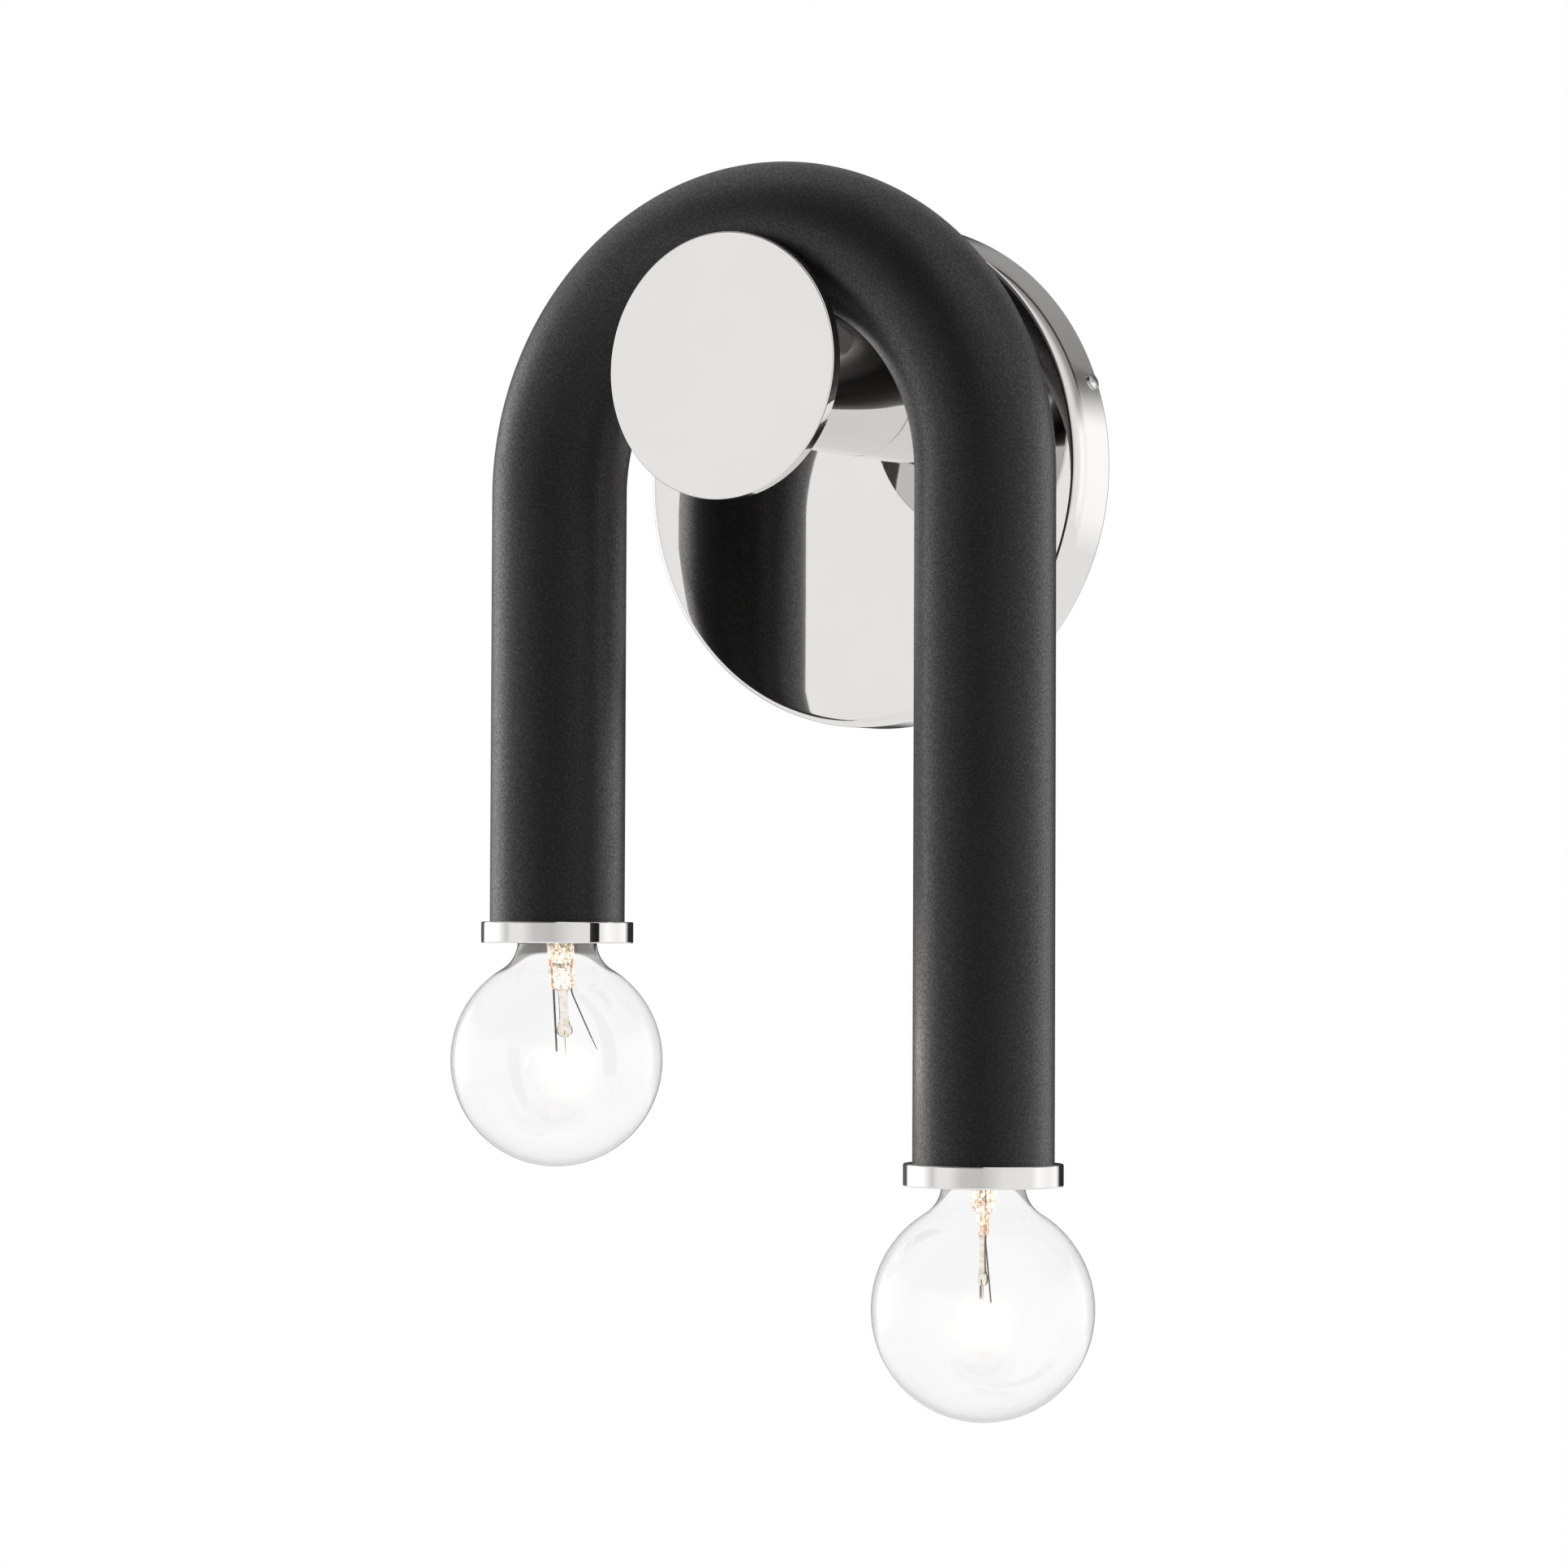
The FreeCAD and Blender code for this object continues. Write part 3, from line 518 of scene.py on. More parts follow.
class Graph:
    """A node tree with short calls to add and join nodes."""

    MIX_SOCKETS = {"FLOAT": (2, 0), "VECTOR": (4, 1), "RGBA": (6, 2)}

    def __init__(self, tree: bpy.types.NodeTree) -> None:
        """Work on the tree of a material, a world or a group."""
        self.tree = tree

    @classmethod
    def emptied(cls, owner: bpy.types.Material | bpy.types.World) -> "Graph":
        """Work on a new material's or world's own tree, with nothing in it."""
        owner.use_nodes = True
        owner.node_tree.nodes.clear()
        return cls(owner.node_tree)

    def add(self, kind: str, inputs: Inputs | None = None, **settings: object) -> bpy.types.Node:
        """Add a node.

        Args:
            kind: Blender's name for the node, without its usual start.
            inputs: What goes into it, as in feed.
            settings: The node's own settings.

        Returns:
            The new node.
        """
        node = self.tree.nodes.new(f"ShaderNode{kind}")
        for name, value in settings.items():
            setattr(node, name, value)
        self.feed(node, inputs or {})
        return node

    def feed(self, node: bpy.types.Node, inputs: Inputs) -> None:
        """Join or set a node's inputs.

        Args:
            node: The node.
            inputs: A socket to join, or a value, by the input's name or number.
        """
        for key, value in inputs.items():
            target = node.inputs[key]
            if isinstance(value, Socket):
                self.tree.links.new(value, target)
            else:
                target.default_value = (*value, 1) if target.type == "RGBA" else value

    def number(self, operation: str, *values: object) -> Socket:
        """Add a Math node and return its output."""
        return self.add("Math", dict(enumerate(values)), operation=operation).outputs[0]

    def vector(self, operation: str, *values: object, output: str = "Vector") -> Socket:
        """Add a Vector Math node and return one of its outputs."""
        return self.add("VectorMath", dict(enumerate(values)), operation=operation).outputs[output]

    def mix(self, kind: str, share: Socket, *ends: object) -> Socket:
        """Mix two numbers, vectors or colours.

        Args:
            kind: Blender's name for the kind of value.
            share: How much of the second there is.
            ends: The first and the second, each a value or a socket.

        Returns:
            The mixed value.
        """
        start, output = self.MIX_SOCKETS[kind]
        inputs = {0: share, start: ends[0], start + 1: ends[1]}
        return self.add("Mix", inputs, data_type=kind).outputs[output]

    def span(self, value: Socket, start: Ends = UNIT, end: Ends = UNIT, soft: bool = False) -> Socket:
        """Take a value from one span to another and keep it inside.

        Args:
            value: The value.
            start: The two ends of its span.
            end: What each of them becomes.
            soft: Whether it leaves and reaches them slowly.

        Returns:
            The new value.
        """
        kind = "SMOOTHSTEP" if soft else "LINEAR"
        inputs = dict(enumerate((value, *start, *end)))
        return self.add("MapRange", inputs, interpolation_type=kind).outputs[0]


class Effects:
    """Shader node groups that several finishes share."""

    NOISE_SPAN = (0.3, 0.7)
    GRAIN_DETAIL = 2.0

    @classmethod
    def start(
        cls, name: str, numbers: Sequence[str], result: str, kind: str
    ) -> tuple[Graph, Sockets, Socket]:
        """Make a group with its inputs, output and noise.

        Args:
            name: The group's name.
            numbers: Names of its number inputs, after the vector.
            result: Name of its output.
            kind: Kind of its output.

        Returns:
            The group's graph, its inputs by name and its noise.
        """
        tree = bpy.data.node_groups.new(name, "ShaderNodeTree")
        tree.interface.new_socket("Vector", in_out="INPUT", socket_type="NodeSocketVector")
        for number in numbers:
            tree.interface.new_socket(number, in_out="INPUT", socket_type="NodeSocketFloat")
        tree.interface.new_socket(result, in_out="OUTPUT", socket_type=f"NodeSocket{kind}")
        graph = Graph(tree)
        given = tree.nodes.new("NodeGroupInput").outputs
        scale = graph.number("DIVIDE", 1.0, given["Size"])
        detail = given["Detail"] if "Detail" in numbers else cls.GRAIN_DETAIL
        noise = graph.add("TexNoise", {"Vector": given["Vector"], "Scale": scale, "Detail": detail})
        return graph, given, noise.outputs["Fac"]

    @classmethod
    def patches(cls) -> bpy.types.NodeTree:
        """Soft patches of a size, as a value between two limits."""
        if "soft_patches" not in bpy.data.node_groups:
            numbers = ("Size", "Detail", "Low", "High")
            graph, given, noise = cls.start("soft_patches", numbers, "Value", "Float")
            value = graph.span(noise, cls.NOISE_SPAN, (given["Low"], given["High"]), soft=True)
            graph.feed(graph.tree.nodes.new("NodeGroupOutput"), {"Value": value})
        return bpy.data.node_groups["soft_patches"]

    @classmethod
    def grain(cls) -> bpy.types.NodeTree:
        """Normal of a raised grain of a size and a depth."""
        if "raised_grain" not in bpy.data.node_groups:
            graph, given, noise = cls.start("raised_grain", ("Size", "Depth"), "Normal", "Vector")
            bump = graph.add("Bump", {"Height": noise, "Distance": given["Depth"], "Strength": 1.0})
            graph.feed(graph.tree.nodes.new("NodeGroupOutput"), {"Normal": bump.outputs["Normal"]})
        return bpy.data.node_groups["raised_grain"]


class Surface(Graph):
    """Nodes of one material, from its Object coordinates to its shader."""

    def __init__(self, tree: bpy.types.NodeTree) -> None:
        """Start at a new material's own shader."""
        super().__init__(tree)
        self.shader = tree.nodes["Principled BSDF"]
        self.place = self.add("TexCoord").outputs["Object"]

    def patches(self, size: float, detail: float, low: float = 0.0, high: float = 1.0) -> Socket:
        """Soft patches of a size, as a value between two limits."""
        inputs = {"Vector": self.place, "Size": size, "Detail": detail, "Low": low, "High": high}
        return self.add("Group", inputs, node_tree=Effects.patches()).outputs[0]

    def grain(self, size: float, depth: float) -> Socket:
        """Normal of a raised grain of a size and a depth."""
        inputs = {"Vector": self.place, "Size": size, "Depth": depth}
        return self.add("Group", inputs, node_tree=Effects.grain()).outputs[0]

    def facing(self, inputs: Inputs | None = None) -> Socket:
        """How far the surface, or a normal that is given, turns away from the eye."""
        return self.add("LayerWeight", inputs).outputs["Facing"]


@dataclass(frozen=True)
class Finish:
    """What every finish has: its slot, a colour and soft patches of another colour."""

    slot: str
    colour: Colour
    patch_colour: Colour
    patch_size: float
    patch_detail: float = 1.0
    patch_low: float = 0.0

    def material(self) -> bpy.types.Material:
        """The finish's material, made when it is first asked for."""
        title = f"finish_{self.slot}"
        if title not in bpy.data.materials:
            material = bpy.data.materials.new(title)
            material.use_nodes = True
            surface = Surface(material.node_tree)
            surface.feed(surface.shader, self.sockets(surface))
        return bpy.data.materials[title]

    def skin(self, surface: Surface) -> Socket:
        """Colour of the finish, patches and all, on a material's nodes."""
        mask = surface.patches(self.patch_size, self.patch_detail, self.patch_low)
        return surface.mix("RGBA", mask, self.colour, self.patch_colour)

    def sockets(self, surface: Surface) -> Inputs:
        """What a material's shader takes, by the names of its sockets."""
        return {"Base Color": self.skin(surface)}


@dataclass(frozen=True)
class Solid(Finish):
    """A solid finish with soft patches of gloss too and a fine raised grain."""

    patch_detail: float = 3.0
    gloss: Pair = (0.3, 0.45)
    gloss_detail: float = 4.0
    metallic: float = 0.0
    grain_size: float = 0.4 * MM
    grain_depth: float = 0.002 * MM
    coat: float = 0.0

    def sockets(self, surface: Surface) -> Inputs:
        """What a material's shader takes, by the names of its sockets."""
        return {
            "Base Color": self.skin(surface),
            "Roughness": surface.patches(self.patch_size / 2, self.gloss_detail, *self.gloss),
            "Normal": surface.grain(self.grain_size, self.grain_depth),
            "Metallic": self.metallic,
            "Coat Weight": self.coat,
        }


@dataclass(frozen=True)
class PowderCoat(Finish):
    """Matt powder coat: a fine pebbled skin whose pebbles catch the light one by one."""

    patch_size: float = 14 * MM
    patch_detail: float = 3.0
    pebble_size: float = 0.5 * MM
    pebble_depth: float = 0.04 * MM
    pebble_detail: float = 2.0
    pebble_colour: Colour = (0.020, 0.020, 0.019)
    pebble_share: Pair = (-0.9, 0.8)
    pebble_gloss: Pair = (0.52, 0.34)
    shine: float = 0.25
    bloom_end: float = 0.45
    bloom_specks: Pair = (0.6, 1.4)
    bloom_gloss: float = 0.42
    bloom_refraction: float = 1.6

    def sockets(self, surface: Surface) -> Inputs:
        """What a material's shader takes.

        Args:
            surface: The material's nodes.

        Returns:
            Values and sockets by the names of the shader's own sockets.
        """
        pebbles = (self.pebble_size, self.pebble_detail)
        share = surface.patches(*pebbles, *self.pebble_share)
        # Seen aslant the pebbles stand close together and shine more
        slant = surface.span(surface.facing(), (0.0, self.bloom_end))
        specks = surface.patches(*pebbles, *self.bloom_specks)
        return {
            "Base Color": surface.mix("RGBA", share, self.skin(surface), self.pebble_colour),
            "Roughness": surface.patches(*pebbles, *self.pebble_gloss),
            "Normal": surface.grain(self.pebble_size, self.pebble_depth),
            "Specular IOR Level": self.shine,
            "Coat Weight": surface.number("MULTIPLY", slant, specks),
            "Coat Roughness": self.bloom_gloss,
            "Coat IOR": self.bloom_refraction,
        }


@dataclass(frozen=True)
class ClearGlass(Finish):
    """Clear blown glass with a faint waviness."""

    patch_size: float = 20 * MM
    refraction: float = 1.45
    wave_size: float = 9 * MM
    wave_depth: float = 0.0015 * MM

    def sockets(self, surface: Surface) -> Inputs:
        """What a material's shader takes, by the names of its sockets."""
        return {
            "Base Color": self.skin(surface),
            "Roughness": 0.0,
            "IOR": self.refraction,
            "Transmission Weight": 1.0,
            "Normal": surface.grain(self.wave_size, self.wave_depth),
        }


@dataclass(frozen=True)
class LitGlass(ClearGlass):
    """Globe glass with painted shade on its neck, a painted dark lower rim and glint on the upper rim, and
    the coil's light spread round it as a painted glow.
    """

    # Painted shade: the collar's dark reflection and shade on the neck, darker at the back and at the edges
    neck_shade_colour: Colour = (0.15, 0.14, 0.13)
    neck_drops: Pair = (3.0 * MM, 0.6 * MM)
    neck_arch: float = 6.8 * MM
    arch_sharpness: float = 2.0
    neck_fade: float = 0.8 * MM
    neck_shade_heading: float = 213.0
    neck_shade_edge: float = 1.5 * MM
    edge_span: Pair = (0.5, 0.8)
    # Painted shade along the globe's lower rim and a painted glint along its upper rim
    rim_shade_colour: Colour = (0.12, 0.12, 0.125)
    rim_sharpness: float = 5.0
    rim_span: Pair = (0.28, 0.10)
    painted_rim_glint: float = 0.22
    # Painted glow round the coil, bright in the glass where a sight line passes close to it
    painted_glow_radius: float = 2.9 * MM
    painted_glow_strength: float = 1.7
    painted_glow_fall: float = -2.0
    painted_glow_drop: float = 2.4 * MM
    painted_glow_edge: float = 0.02
    painted_glow_colour: Colour = (1.0, 0.98, 0.5)

    def sockets(self, surface: Surface) -> Inputs:
        """What a material's shader takes.

        Args:
            surface: The material's nodes.

        Returns:
            Values and sockets by the names of the shader's own sockets.
        """
        clear = super().sockets(surface)
        across = surface.add("SeparateXYZ", {0: surface.place}).outputs
        right = surface.number("GREATER_THAN", across["X"], 0.0)
        facing = surface.facing()
        rim = surface.number("POWER", facing, self.rim_sharpness)

        # Painted shade of the neck, its lower edge arching down towards the outline
        mouth = surface.span(right, end=[side.mouth.z - drop for side, drop in zip(Side, self.neck_drops)])
        arch = surface.number("POWER", facing, self.arch_sharpness)
        start = surface.number("MULTIPLY_ADD", arch, -self.neck_arch, mouth)
        above = surface.number("SUBTRACT", across["Z"], start)
        neck = surface.span(above, (0.0, self.neck_fade), soft=True)
        neck_shade = surface.number("MULTIPLY", neck, self.find_neck_shade(surface, right, facing))
        neck_shaded = surface.mix("RGBA", neck_shade, clear["Base Color"], self.neck_shade_colour)

        # Painted shade: the rim goes dark towards the bottom of the globe
        glasses = [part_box(side.node("lamp_glass")) for side in Side]
        floor = surface.span(right, end=[low.z for low, _ in glasses])
        climb = surface.number("SUBTRACT", across["Z"], floor)
        share = surface.number("DIVIDE", climb, max(high.z - low.z for low, high in glasses))
        under = surface.span(share, self.rim_span)
        painted_rim_shade = surface.number("MULTIPLY", rim, under)

        # Painted glint on the upper rim and painted glow round the coil, seen by the camera only
        upper = surface.number("SUBTRACT", surface.number("SUBTRACT", 1.0, under), neck)
        shine = surface.number("MULTIPLY", rim, self.painted_rim_glint)
        painted_glint = surface.number("MULTIPLY", shine, surface.number("MAXIMUM", upper, 0.0))
        painted_glow = self.find_painted_glow(surface, right)
        light = surface.number("MULTIPLY_ADD", painted_glow, self.painted_glow_strength, painted_glint)
        seen = surface.number("MULTIPLY", light, surface.add("LightPath").outputs["Is Camera Ray"])
        warm = surface.span(painted_glow, (0.0, self.painted_glow_edge))
        return clear | {
            "Base Color": surface.mix("RGBA", painted_rim_shade, neck_shaded, self.rim_shade_colour),
            "Emission Strength": seen,
            "Emission Color": surface.mix("RGBA", warm, WHITE, self.painted_glow_colour),
        }

    def find_neck_shade(self, surface: Surface, right: Socket, facing: Socket) -> Socket:
        """Share of painted shade round the neck: all of it at the back, and some at the edges.

        Args:
            surface: The material's nodes.
            right: 1 on the right lamp and 0 on the left one.
            facing: How far the glass turns away from the eye.

        Returns:
            The share.
        """
        foot = surface.mix("VECTOR", right, *(middle(side.node("collar")) for side in Side))
        turn = math.radians(self.neck_shade_heading)
        heading = Vector((math.sin(turn), -math.cos(turn), 0))
        outward = surface.vector("SUBTRACT", surface.place, foot)
        behind = surface.vector("DOT_PRODUCT", outward, heading, output="Value")
        rear = surface.span(behind, (-self.neck_shade_edge, self.neck_shade_edge))
        return surface.number("MAXIMUM", rear, surface.span(facing, self.edge_span))

    def find_painted_glow(self, surface: Surface, right: Socket) -> Socket:
        """Share of the glow painted round the coil, by how far a sight line passes from the coil.

        Args:
            surface: The material's nodes.
            right: 1 on the right lamp and 0 on the left one.

        Returns:
            The share.
        """
        coils = [middle(side.node("lamp_filament")) - UP * self.painted_glow_drop for side in Side]
        spread = surface.vector("SUBTRACT", surface.place, surface.mix("VECTOR", right, *coils))
        distance = surface.vector("LENGTH", spread, output="Value")
        slant = surface.facing({"Normal": surface.vector("NORMALIZE", spread)})
        # The sine of the slant times the distance is how far the line passes
        square = surface.number("MULTIPLY", slant, surface.number("SUBTRACT", 2.0, slant))
        sine = surface.number("SQRT", square)
        passing = surface.number("DIVIDE", surface.number("MULTIPLY", sine, distance), self.painted_glow_radius)
        spread_out = surface.number("MULTIPLY_ADD", passing, passing, 1.0)
        return surface.number("POWER", spread_out, self.painted_glow_fall)


@dataclass(frozen=True)
class MountGlass(ClearGlass):
    """Pressed glass of the mount, with specks of the coil's light painted in as glowing glints over its
    ripples.
    """

    painted_spark_colour: Colour = (1.0, 0.88, 0.68)
    painted_spark_size: float = 0.7 * MM
    painted_spark_detail: float = 2.0
    painted_spark_share: Pair = (-0.8, 1.0)
    painted_spark_strength: float = 0.62

    def sockets(self, surface: Surface) -> Inputs:
        """What a material's shader takes, by the names of its sockets."""
        # Painted glints: warm specks that glow on the glass
        painted_sparks = surface.patches(self.painted_spark_size, self.painted_spark_detail, *self.painted_spark_share)
        lit = surface.mix("RGBA", painted_sparks, BLACK, self.painted_spark_colour)
        return super().sockets(surface) | {"Emission Color": lit, "Emission Strength": self.painted_spark_strength}


@dataclass(frozen=True)
class HotWire(Finish):
    """Tungsten coil, glowing unevenly along its turns."""

    colour: Colour = (1.0, 0.86, 0.58)
    patch_colour: Colour = (1.0, 0.94, 0.78)
    patch_size: float = 1.5 * MM
    strength: float = 2.5
    gloss: float = 0.6

    def sockets(self, surface: Surface) -> Inputs:
        """What a material's shader takes, by the names of its sockets."""
        return {
            "Base Color": self.colour,
            "Roughness": self.gloss,
            "Emission Color": self.skin(surface),
            "Emission Strength": self.strength,
        }


POLISHED_NICKEL = Solid(
    "polished_nickel", (0.80, 0.79, 0.775), (0.82, 0.81, 0.80), 22 * MM,
    gloss=(0.015, 0.035), metallic=1.0, grain_size=16 * MM, grain_depth=0.004 * MM,
)
BLACK_COAT = PowderCoat("black_powder_coat", (0.004, 0.004, 0.004), (0.006, 0.006, 0.006), 14 * MM)
ZINC_STEEL = Solid(
    "zinc_steel", (0.62, 0.62, 0.60), (0.50, 0.52, 0.53), 5 * MM, gloss=(0.22, 0.42), metallic=1.0
)
GREEN_ZINC = Solid(
    "ground_green", (0.04, 0.27, 0.09), (0.07, 0.33, 0.10), 3 * MM, gloss=(0.25, 0.4), metallic=0.6
)
BARE_COPPER = Solid(
    "copper", (0.80, 0.42, 0.26), (0.62, 0.30, 0.19), 4 * MM, gloss=(0.25, 0.45), metallic=1.0
)
MOULDED_CAP = Solid(
    "connector_plastic", (0.83, 0.40, 0.06), (0.76, 0.35, 0.05), 6 * MM,
    gloss=(0.4, 0.55), grain_depth=0.01 * MM,
)
WIRE_JACKET = Solid("wire_insulation", (0.72, 0.70, 0.64), (0.66, 0.64, 0.57), 8 * MM, gloss=(0.28, 0.4))
PORCELAIN = Solid(
    "socket_body", (0.80, 0.78, 0.72), (0.74, 0.71, 0.64), 5 * MM,
    gloss=(0.12, 0.25), grain_size=2 * MM, grain_depth=0.01 * MM, coat=0.6,
)
PRESSED_BRASS = Solid(
    "brass", (0.78, 0.58, 0.27), (0.62, 0.45, 0.20), 4 * MM, gloss=(0.2, 0.4), metallic=1.0
)
LAMP_CAP = Solid(
    "lamp_cap", (0.74, 0.68, 0.52), (0.62, 0.56, 0.42), 4 * MM, gloss=(0.22, 0.38), metallic=1.0
)
BLACK_INSULATOR = Solid(
    "insulator_glass", (0.012, 0.012, 0.016), (0.03, 0.03, 0.035), 2 * MM, gloss=(0.06, 0.14)
)
SOLDER = Solid(
    "solder", (0.58, 0.58, 0.60), (0.42, 0.42, 0.44), 1.2 * MM,
    gloss=(0.3, 0.55), metallic=1.0, grain_depth=0.02 * MM,
)
LEAD_WIRE = Solid(
    "lead_wire", (0.10, 0.09, 0.09), (0.06, 0.055, 0.055), 2 * MM, gloss=(0.3, 0.45), metallic=1.0
)
COPPER_CLAD = Solid(
    "copper_clad", (0.82, 0.38, 0.28), (0.72, 0.46, 0.22), 1 * MM, gloss=(0.3, 0.45), metallic=1.0
)
CLEAR_GLASS = LitGlass("clear_glass", (0.97, 0.97, 0.975), (0.985, 0.985, 0.985))
# The mount's amber patches are painted reflections of the coil's warm light
MOUNT_GLASS = MountGlass(
    "mount_glass", (1.0, 0.98, 0.95), (0.62, 0.46, 0.31), 0.9 * MM,
    patch_low=-0.7, refraction=1.5, wave_size=0.9 * MM, wave_depth=0.25 * MM,
)
POST_GLASS = ClearGlass(
    "post_glass", (0.93, 0.90, 0.84), (0.80, 0.66, 0.42), 1.6 * MM,
    patch_low=-0.9, refraction=1.5, wave_size=1.4 * MM, wave_depth=0.05 * MM,
)
HOT_TUNGSTEN = HotWire("lit_filament")


class Assembly:
    """What each sub-assembly does with its finished pieces."""

    body = "fixture"

    def fit(self, piece: Object, finish: Finish, *nodes: str, body: str | None = None) -> None:
        """Dress a new piece, put it on its body and let it stand for CAD nodes.

        Args:
            piece: The finished piece.
            finish: What it is dressed in.
            nodes: The CAD nodes that it stands for.
            body: The CAD body it rides on, if it isn't the assembly's own.
        """
        piece.data.materials.clear()
        piece.data.materials.append(finish.material())
        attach(piece, body or self.body)
        if nodes:
            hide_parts(*nodes)
        LOG.info("%s: %d faces, %s", piece.name, len(piece.data.polygons), finish.slot)

    @staticmethod
    def dress(finish: Finish, *nodes: str) -> None:
        """Give CAD nodes that stay a finish.

        Args:
            finish: What they are dressed in.
            nodes: The CAD nodes.
        """
        for name in nodes:
            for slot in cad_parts[name].material_slots:
                slot.material = finish.material()
            LOG.info("%s: CAD node, %s", name, finish.slot)


@dataclass
class Canopy(Assembly):
    """Spun drum on the wall, with the plate, screws and wiring behind it."""

    wall: float = 1.2 * MM
    hem_radius: float = 1.3 * MM
    side_curve: float = 8.0 * MM
    side_turn: float = 28.0
    edge_radius: float = 1.4 * MM
    shoulder_width: float = 7.0 * MM
    shoulder_drop: float = 0.22 * MM
    arc_steps: int = 8
    screw_hole: float = 1.7 * MM
    screw_reach: Pair = (4.8 * MM, 15.75 * MM)
    stem_hole: float = 5.2 * MM
    facets: int = 192

    def build(self) -> None:
        """Make the drum and dress what it covers."""
        self.make_drum()
        self.dress(ZINC_STEEL, "mounting_plate")
        self.dress(POLISHED_NICKEL, "side_screw_left", "side_screw_right")
        self.dress(GREEN_ZINC, "ground_screw")
        self.dress(BARE_COPPER, "ground_lead")
        self.dress(MOULDED_CAP, "wire_connectors")

    def make_drum(self) -> None:
        """Turn the drum's skin, give it a wall and drill it for the screws and the stem's nipple."""
        low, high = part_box("canopy")
        radius = (high.x - low.x) / 2
        depth = high.y - low.y
        flat_radius = radius - self.shoulder_width
        bow = (self.shoulder_width**2 + self.shoulder_drop**2) / (2 * self.shoulder_drop)
        lean = math.radians(self.side_turn)
        reach = self.side_curve - self.edge_radius
        edge_place = radius - self.side_curve + reach * math.cos(lean)
        inset = edge_place - flat_radius
        rise = math.sqrt((bow - self.edge_radius) ** 2 - inset**2)
        edge_height = depth - bow + rise
        side_height = edge_height - reach * math.sin(lean)
        turn = math.degrees(math.atan2(rise, inset))
        drum = Lathe(along=INTO_ROOM, facets=self.facets).turn(
            "canopy_drum",
            Line(radius - self.hem_radius, 0),
            [
                Arc(radius - self.hem_radius, self.hem_radius, 90, self.arc_steps),
                Line(radius, side_height),
                Arc(radius - self.side_curve, side_height, self.side_turn, self.arc_steps),
                Arc(edge_place, edge_height, turn - self.side_turn, self.arc_steps),
                Arc(flat_radius, depth - bow, 90 - turn, self.arc_steps),
                Line(0, depth),
            ],
        )
        Bench.thicken(drum, self.wall)
        for name in ("side_screw_left", "side_screw_right"):
            spot = middle(name)
            outwards = Vector((spot.x, 0, spot.z)).normalized()
            inside, outside = (outwards * far for far in self.screw_reach)
            Bench.drill(drum, spot - inside, spot + outside, self.screw_hole)
        nipple = middle("stem_nipple")
        Bench.drill(drum, nipple, nipple + INTO_ROOM * depth, self.stem_hole)
        Bench.polish(drum)
        self.fit(drum, POLISHED_NICKEL, "canopy")


@dataclass
class Stem(Assembly):
    """Polished peg out of the canopy, with the disc on its end and its clamp inside."""

    wall: float = 1.5 * MM
    foot_edge_radius: float = 0.35 * MM
    disc_thickness: float = 3.0 * MM
    disc_edge_radius: float = 0.4 * MM
    spigot_gap: float = 0.1 * MM
    spigot_wall: float = 2.0 * MM
    nipple: Thread = Thread(depth=0.45 * MM, pitch=0.94 * MM, wall=0.9 * MM)
    crown_hole: float = 5.2 * MM
    facets: int = 160

    def build(self) -> None:
        """Make the peg and the disc and dress the clamp."""
        self.make_peg()
        self.make_disc()
        self.make_nipple()
        self.dress(ZINC_STEEL, "stem_plug", "stem_lock_washer", "stem_nut")

    def make_peg(self) -> None:
        """Turn the tube between canopy and disc, with the hole for the crown's nipple."""
        low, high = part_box("stem_tube")
        radius = (high.x - low.x) / 2
        rise = (high.z + low.z) / 2
        bore = radius - self.wall
        peg = Lathe(Vector((0, 0, rise)), INTO_ROOM, self.facets).turn_ring(
            "stem_peg",
            (bore, -high.y), (radius, -high.y, self.foot_edge_radius),
            (radius, -low.y), (bore, -low.y),
        )
        start = Vector((0, middle("crown_nipple").y, rise))
        Bench.drill(peg, start, start + UP * radius * 2, self.crown_hole)
        Bench.polish(peg)
        self.fit(peg, POLISHED_NICKEL, "stem_tube")

    def make_disc(self) -> None:
        """Turn the disc with its softened edges and the spigot behind it."""
        low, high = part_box("front_disc")
        radius = (high.x - low.x) / 2
        front, spigot_end = -low.y, -high.y
        back = front - self.disc_thickness
        spigot = half_width("stem_tube") - self.wall - self.spigot_gap
        inner = spigot - self.spigot_wall
        disc = Lathe(Vector((0, 0, (high.z + low.z) / 2)), INTO_ROOM, self.facets).turn(
            "front_disc_plate",
            Line(0, front),
            [
                Line(radius, front, self.disc_edge_radius), Line(radius, back, self.disc_edge_radius / 2),
                Line(spigot, back), Line(spigot, spigot_end),
                Line(inner, spigot_end), Line(inner, back),
                Line(0, back),
            ],
        )
        Bench.polish(disc)
        self.fit(disc, POLISHED_NICKEL, "front_disc")

    def make_nipple(self) -> None:
        """Roll the threaded nipple that shows at the back of the canopy."""
        low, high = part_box("stem_nipple")
        nipple = self.nipple.roll("stem_threaded_nipple", (high.x - low.x) / 2, high.y - low.y, 0.0)
        nipple.rotation_euler = (math.pi / 2, 0, 0)
        nipple.location = (0, high.y, (high.z + low.z) / 2)
        Bench.polish(nipple)
        self.fit(nipple, ZINC_STEEL, "stem_nipple")


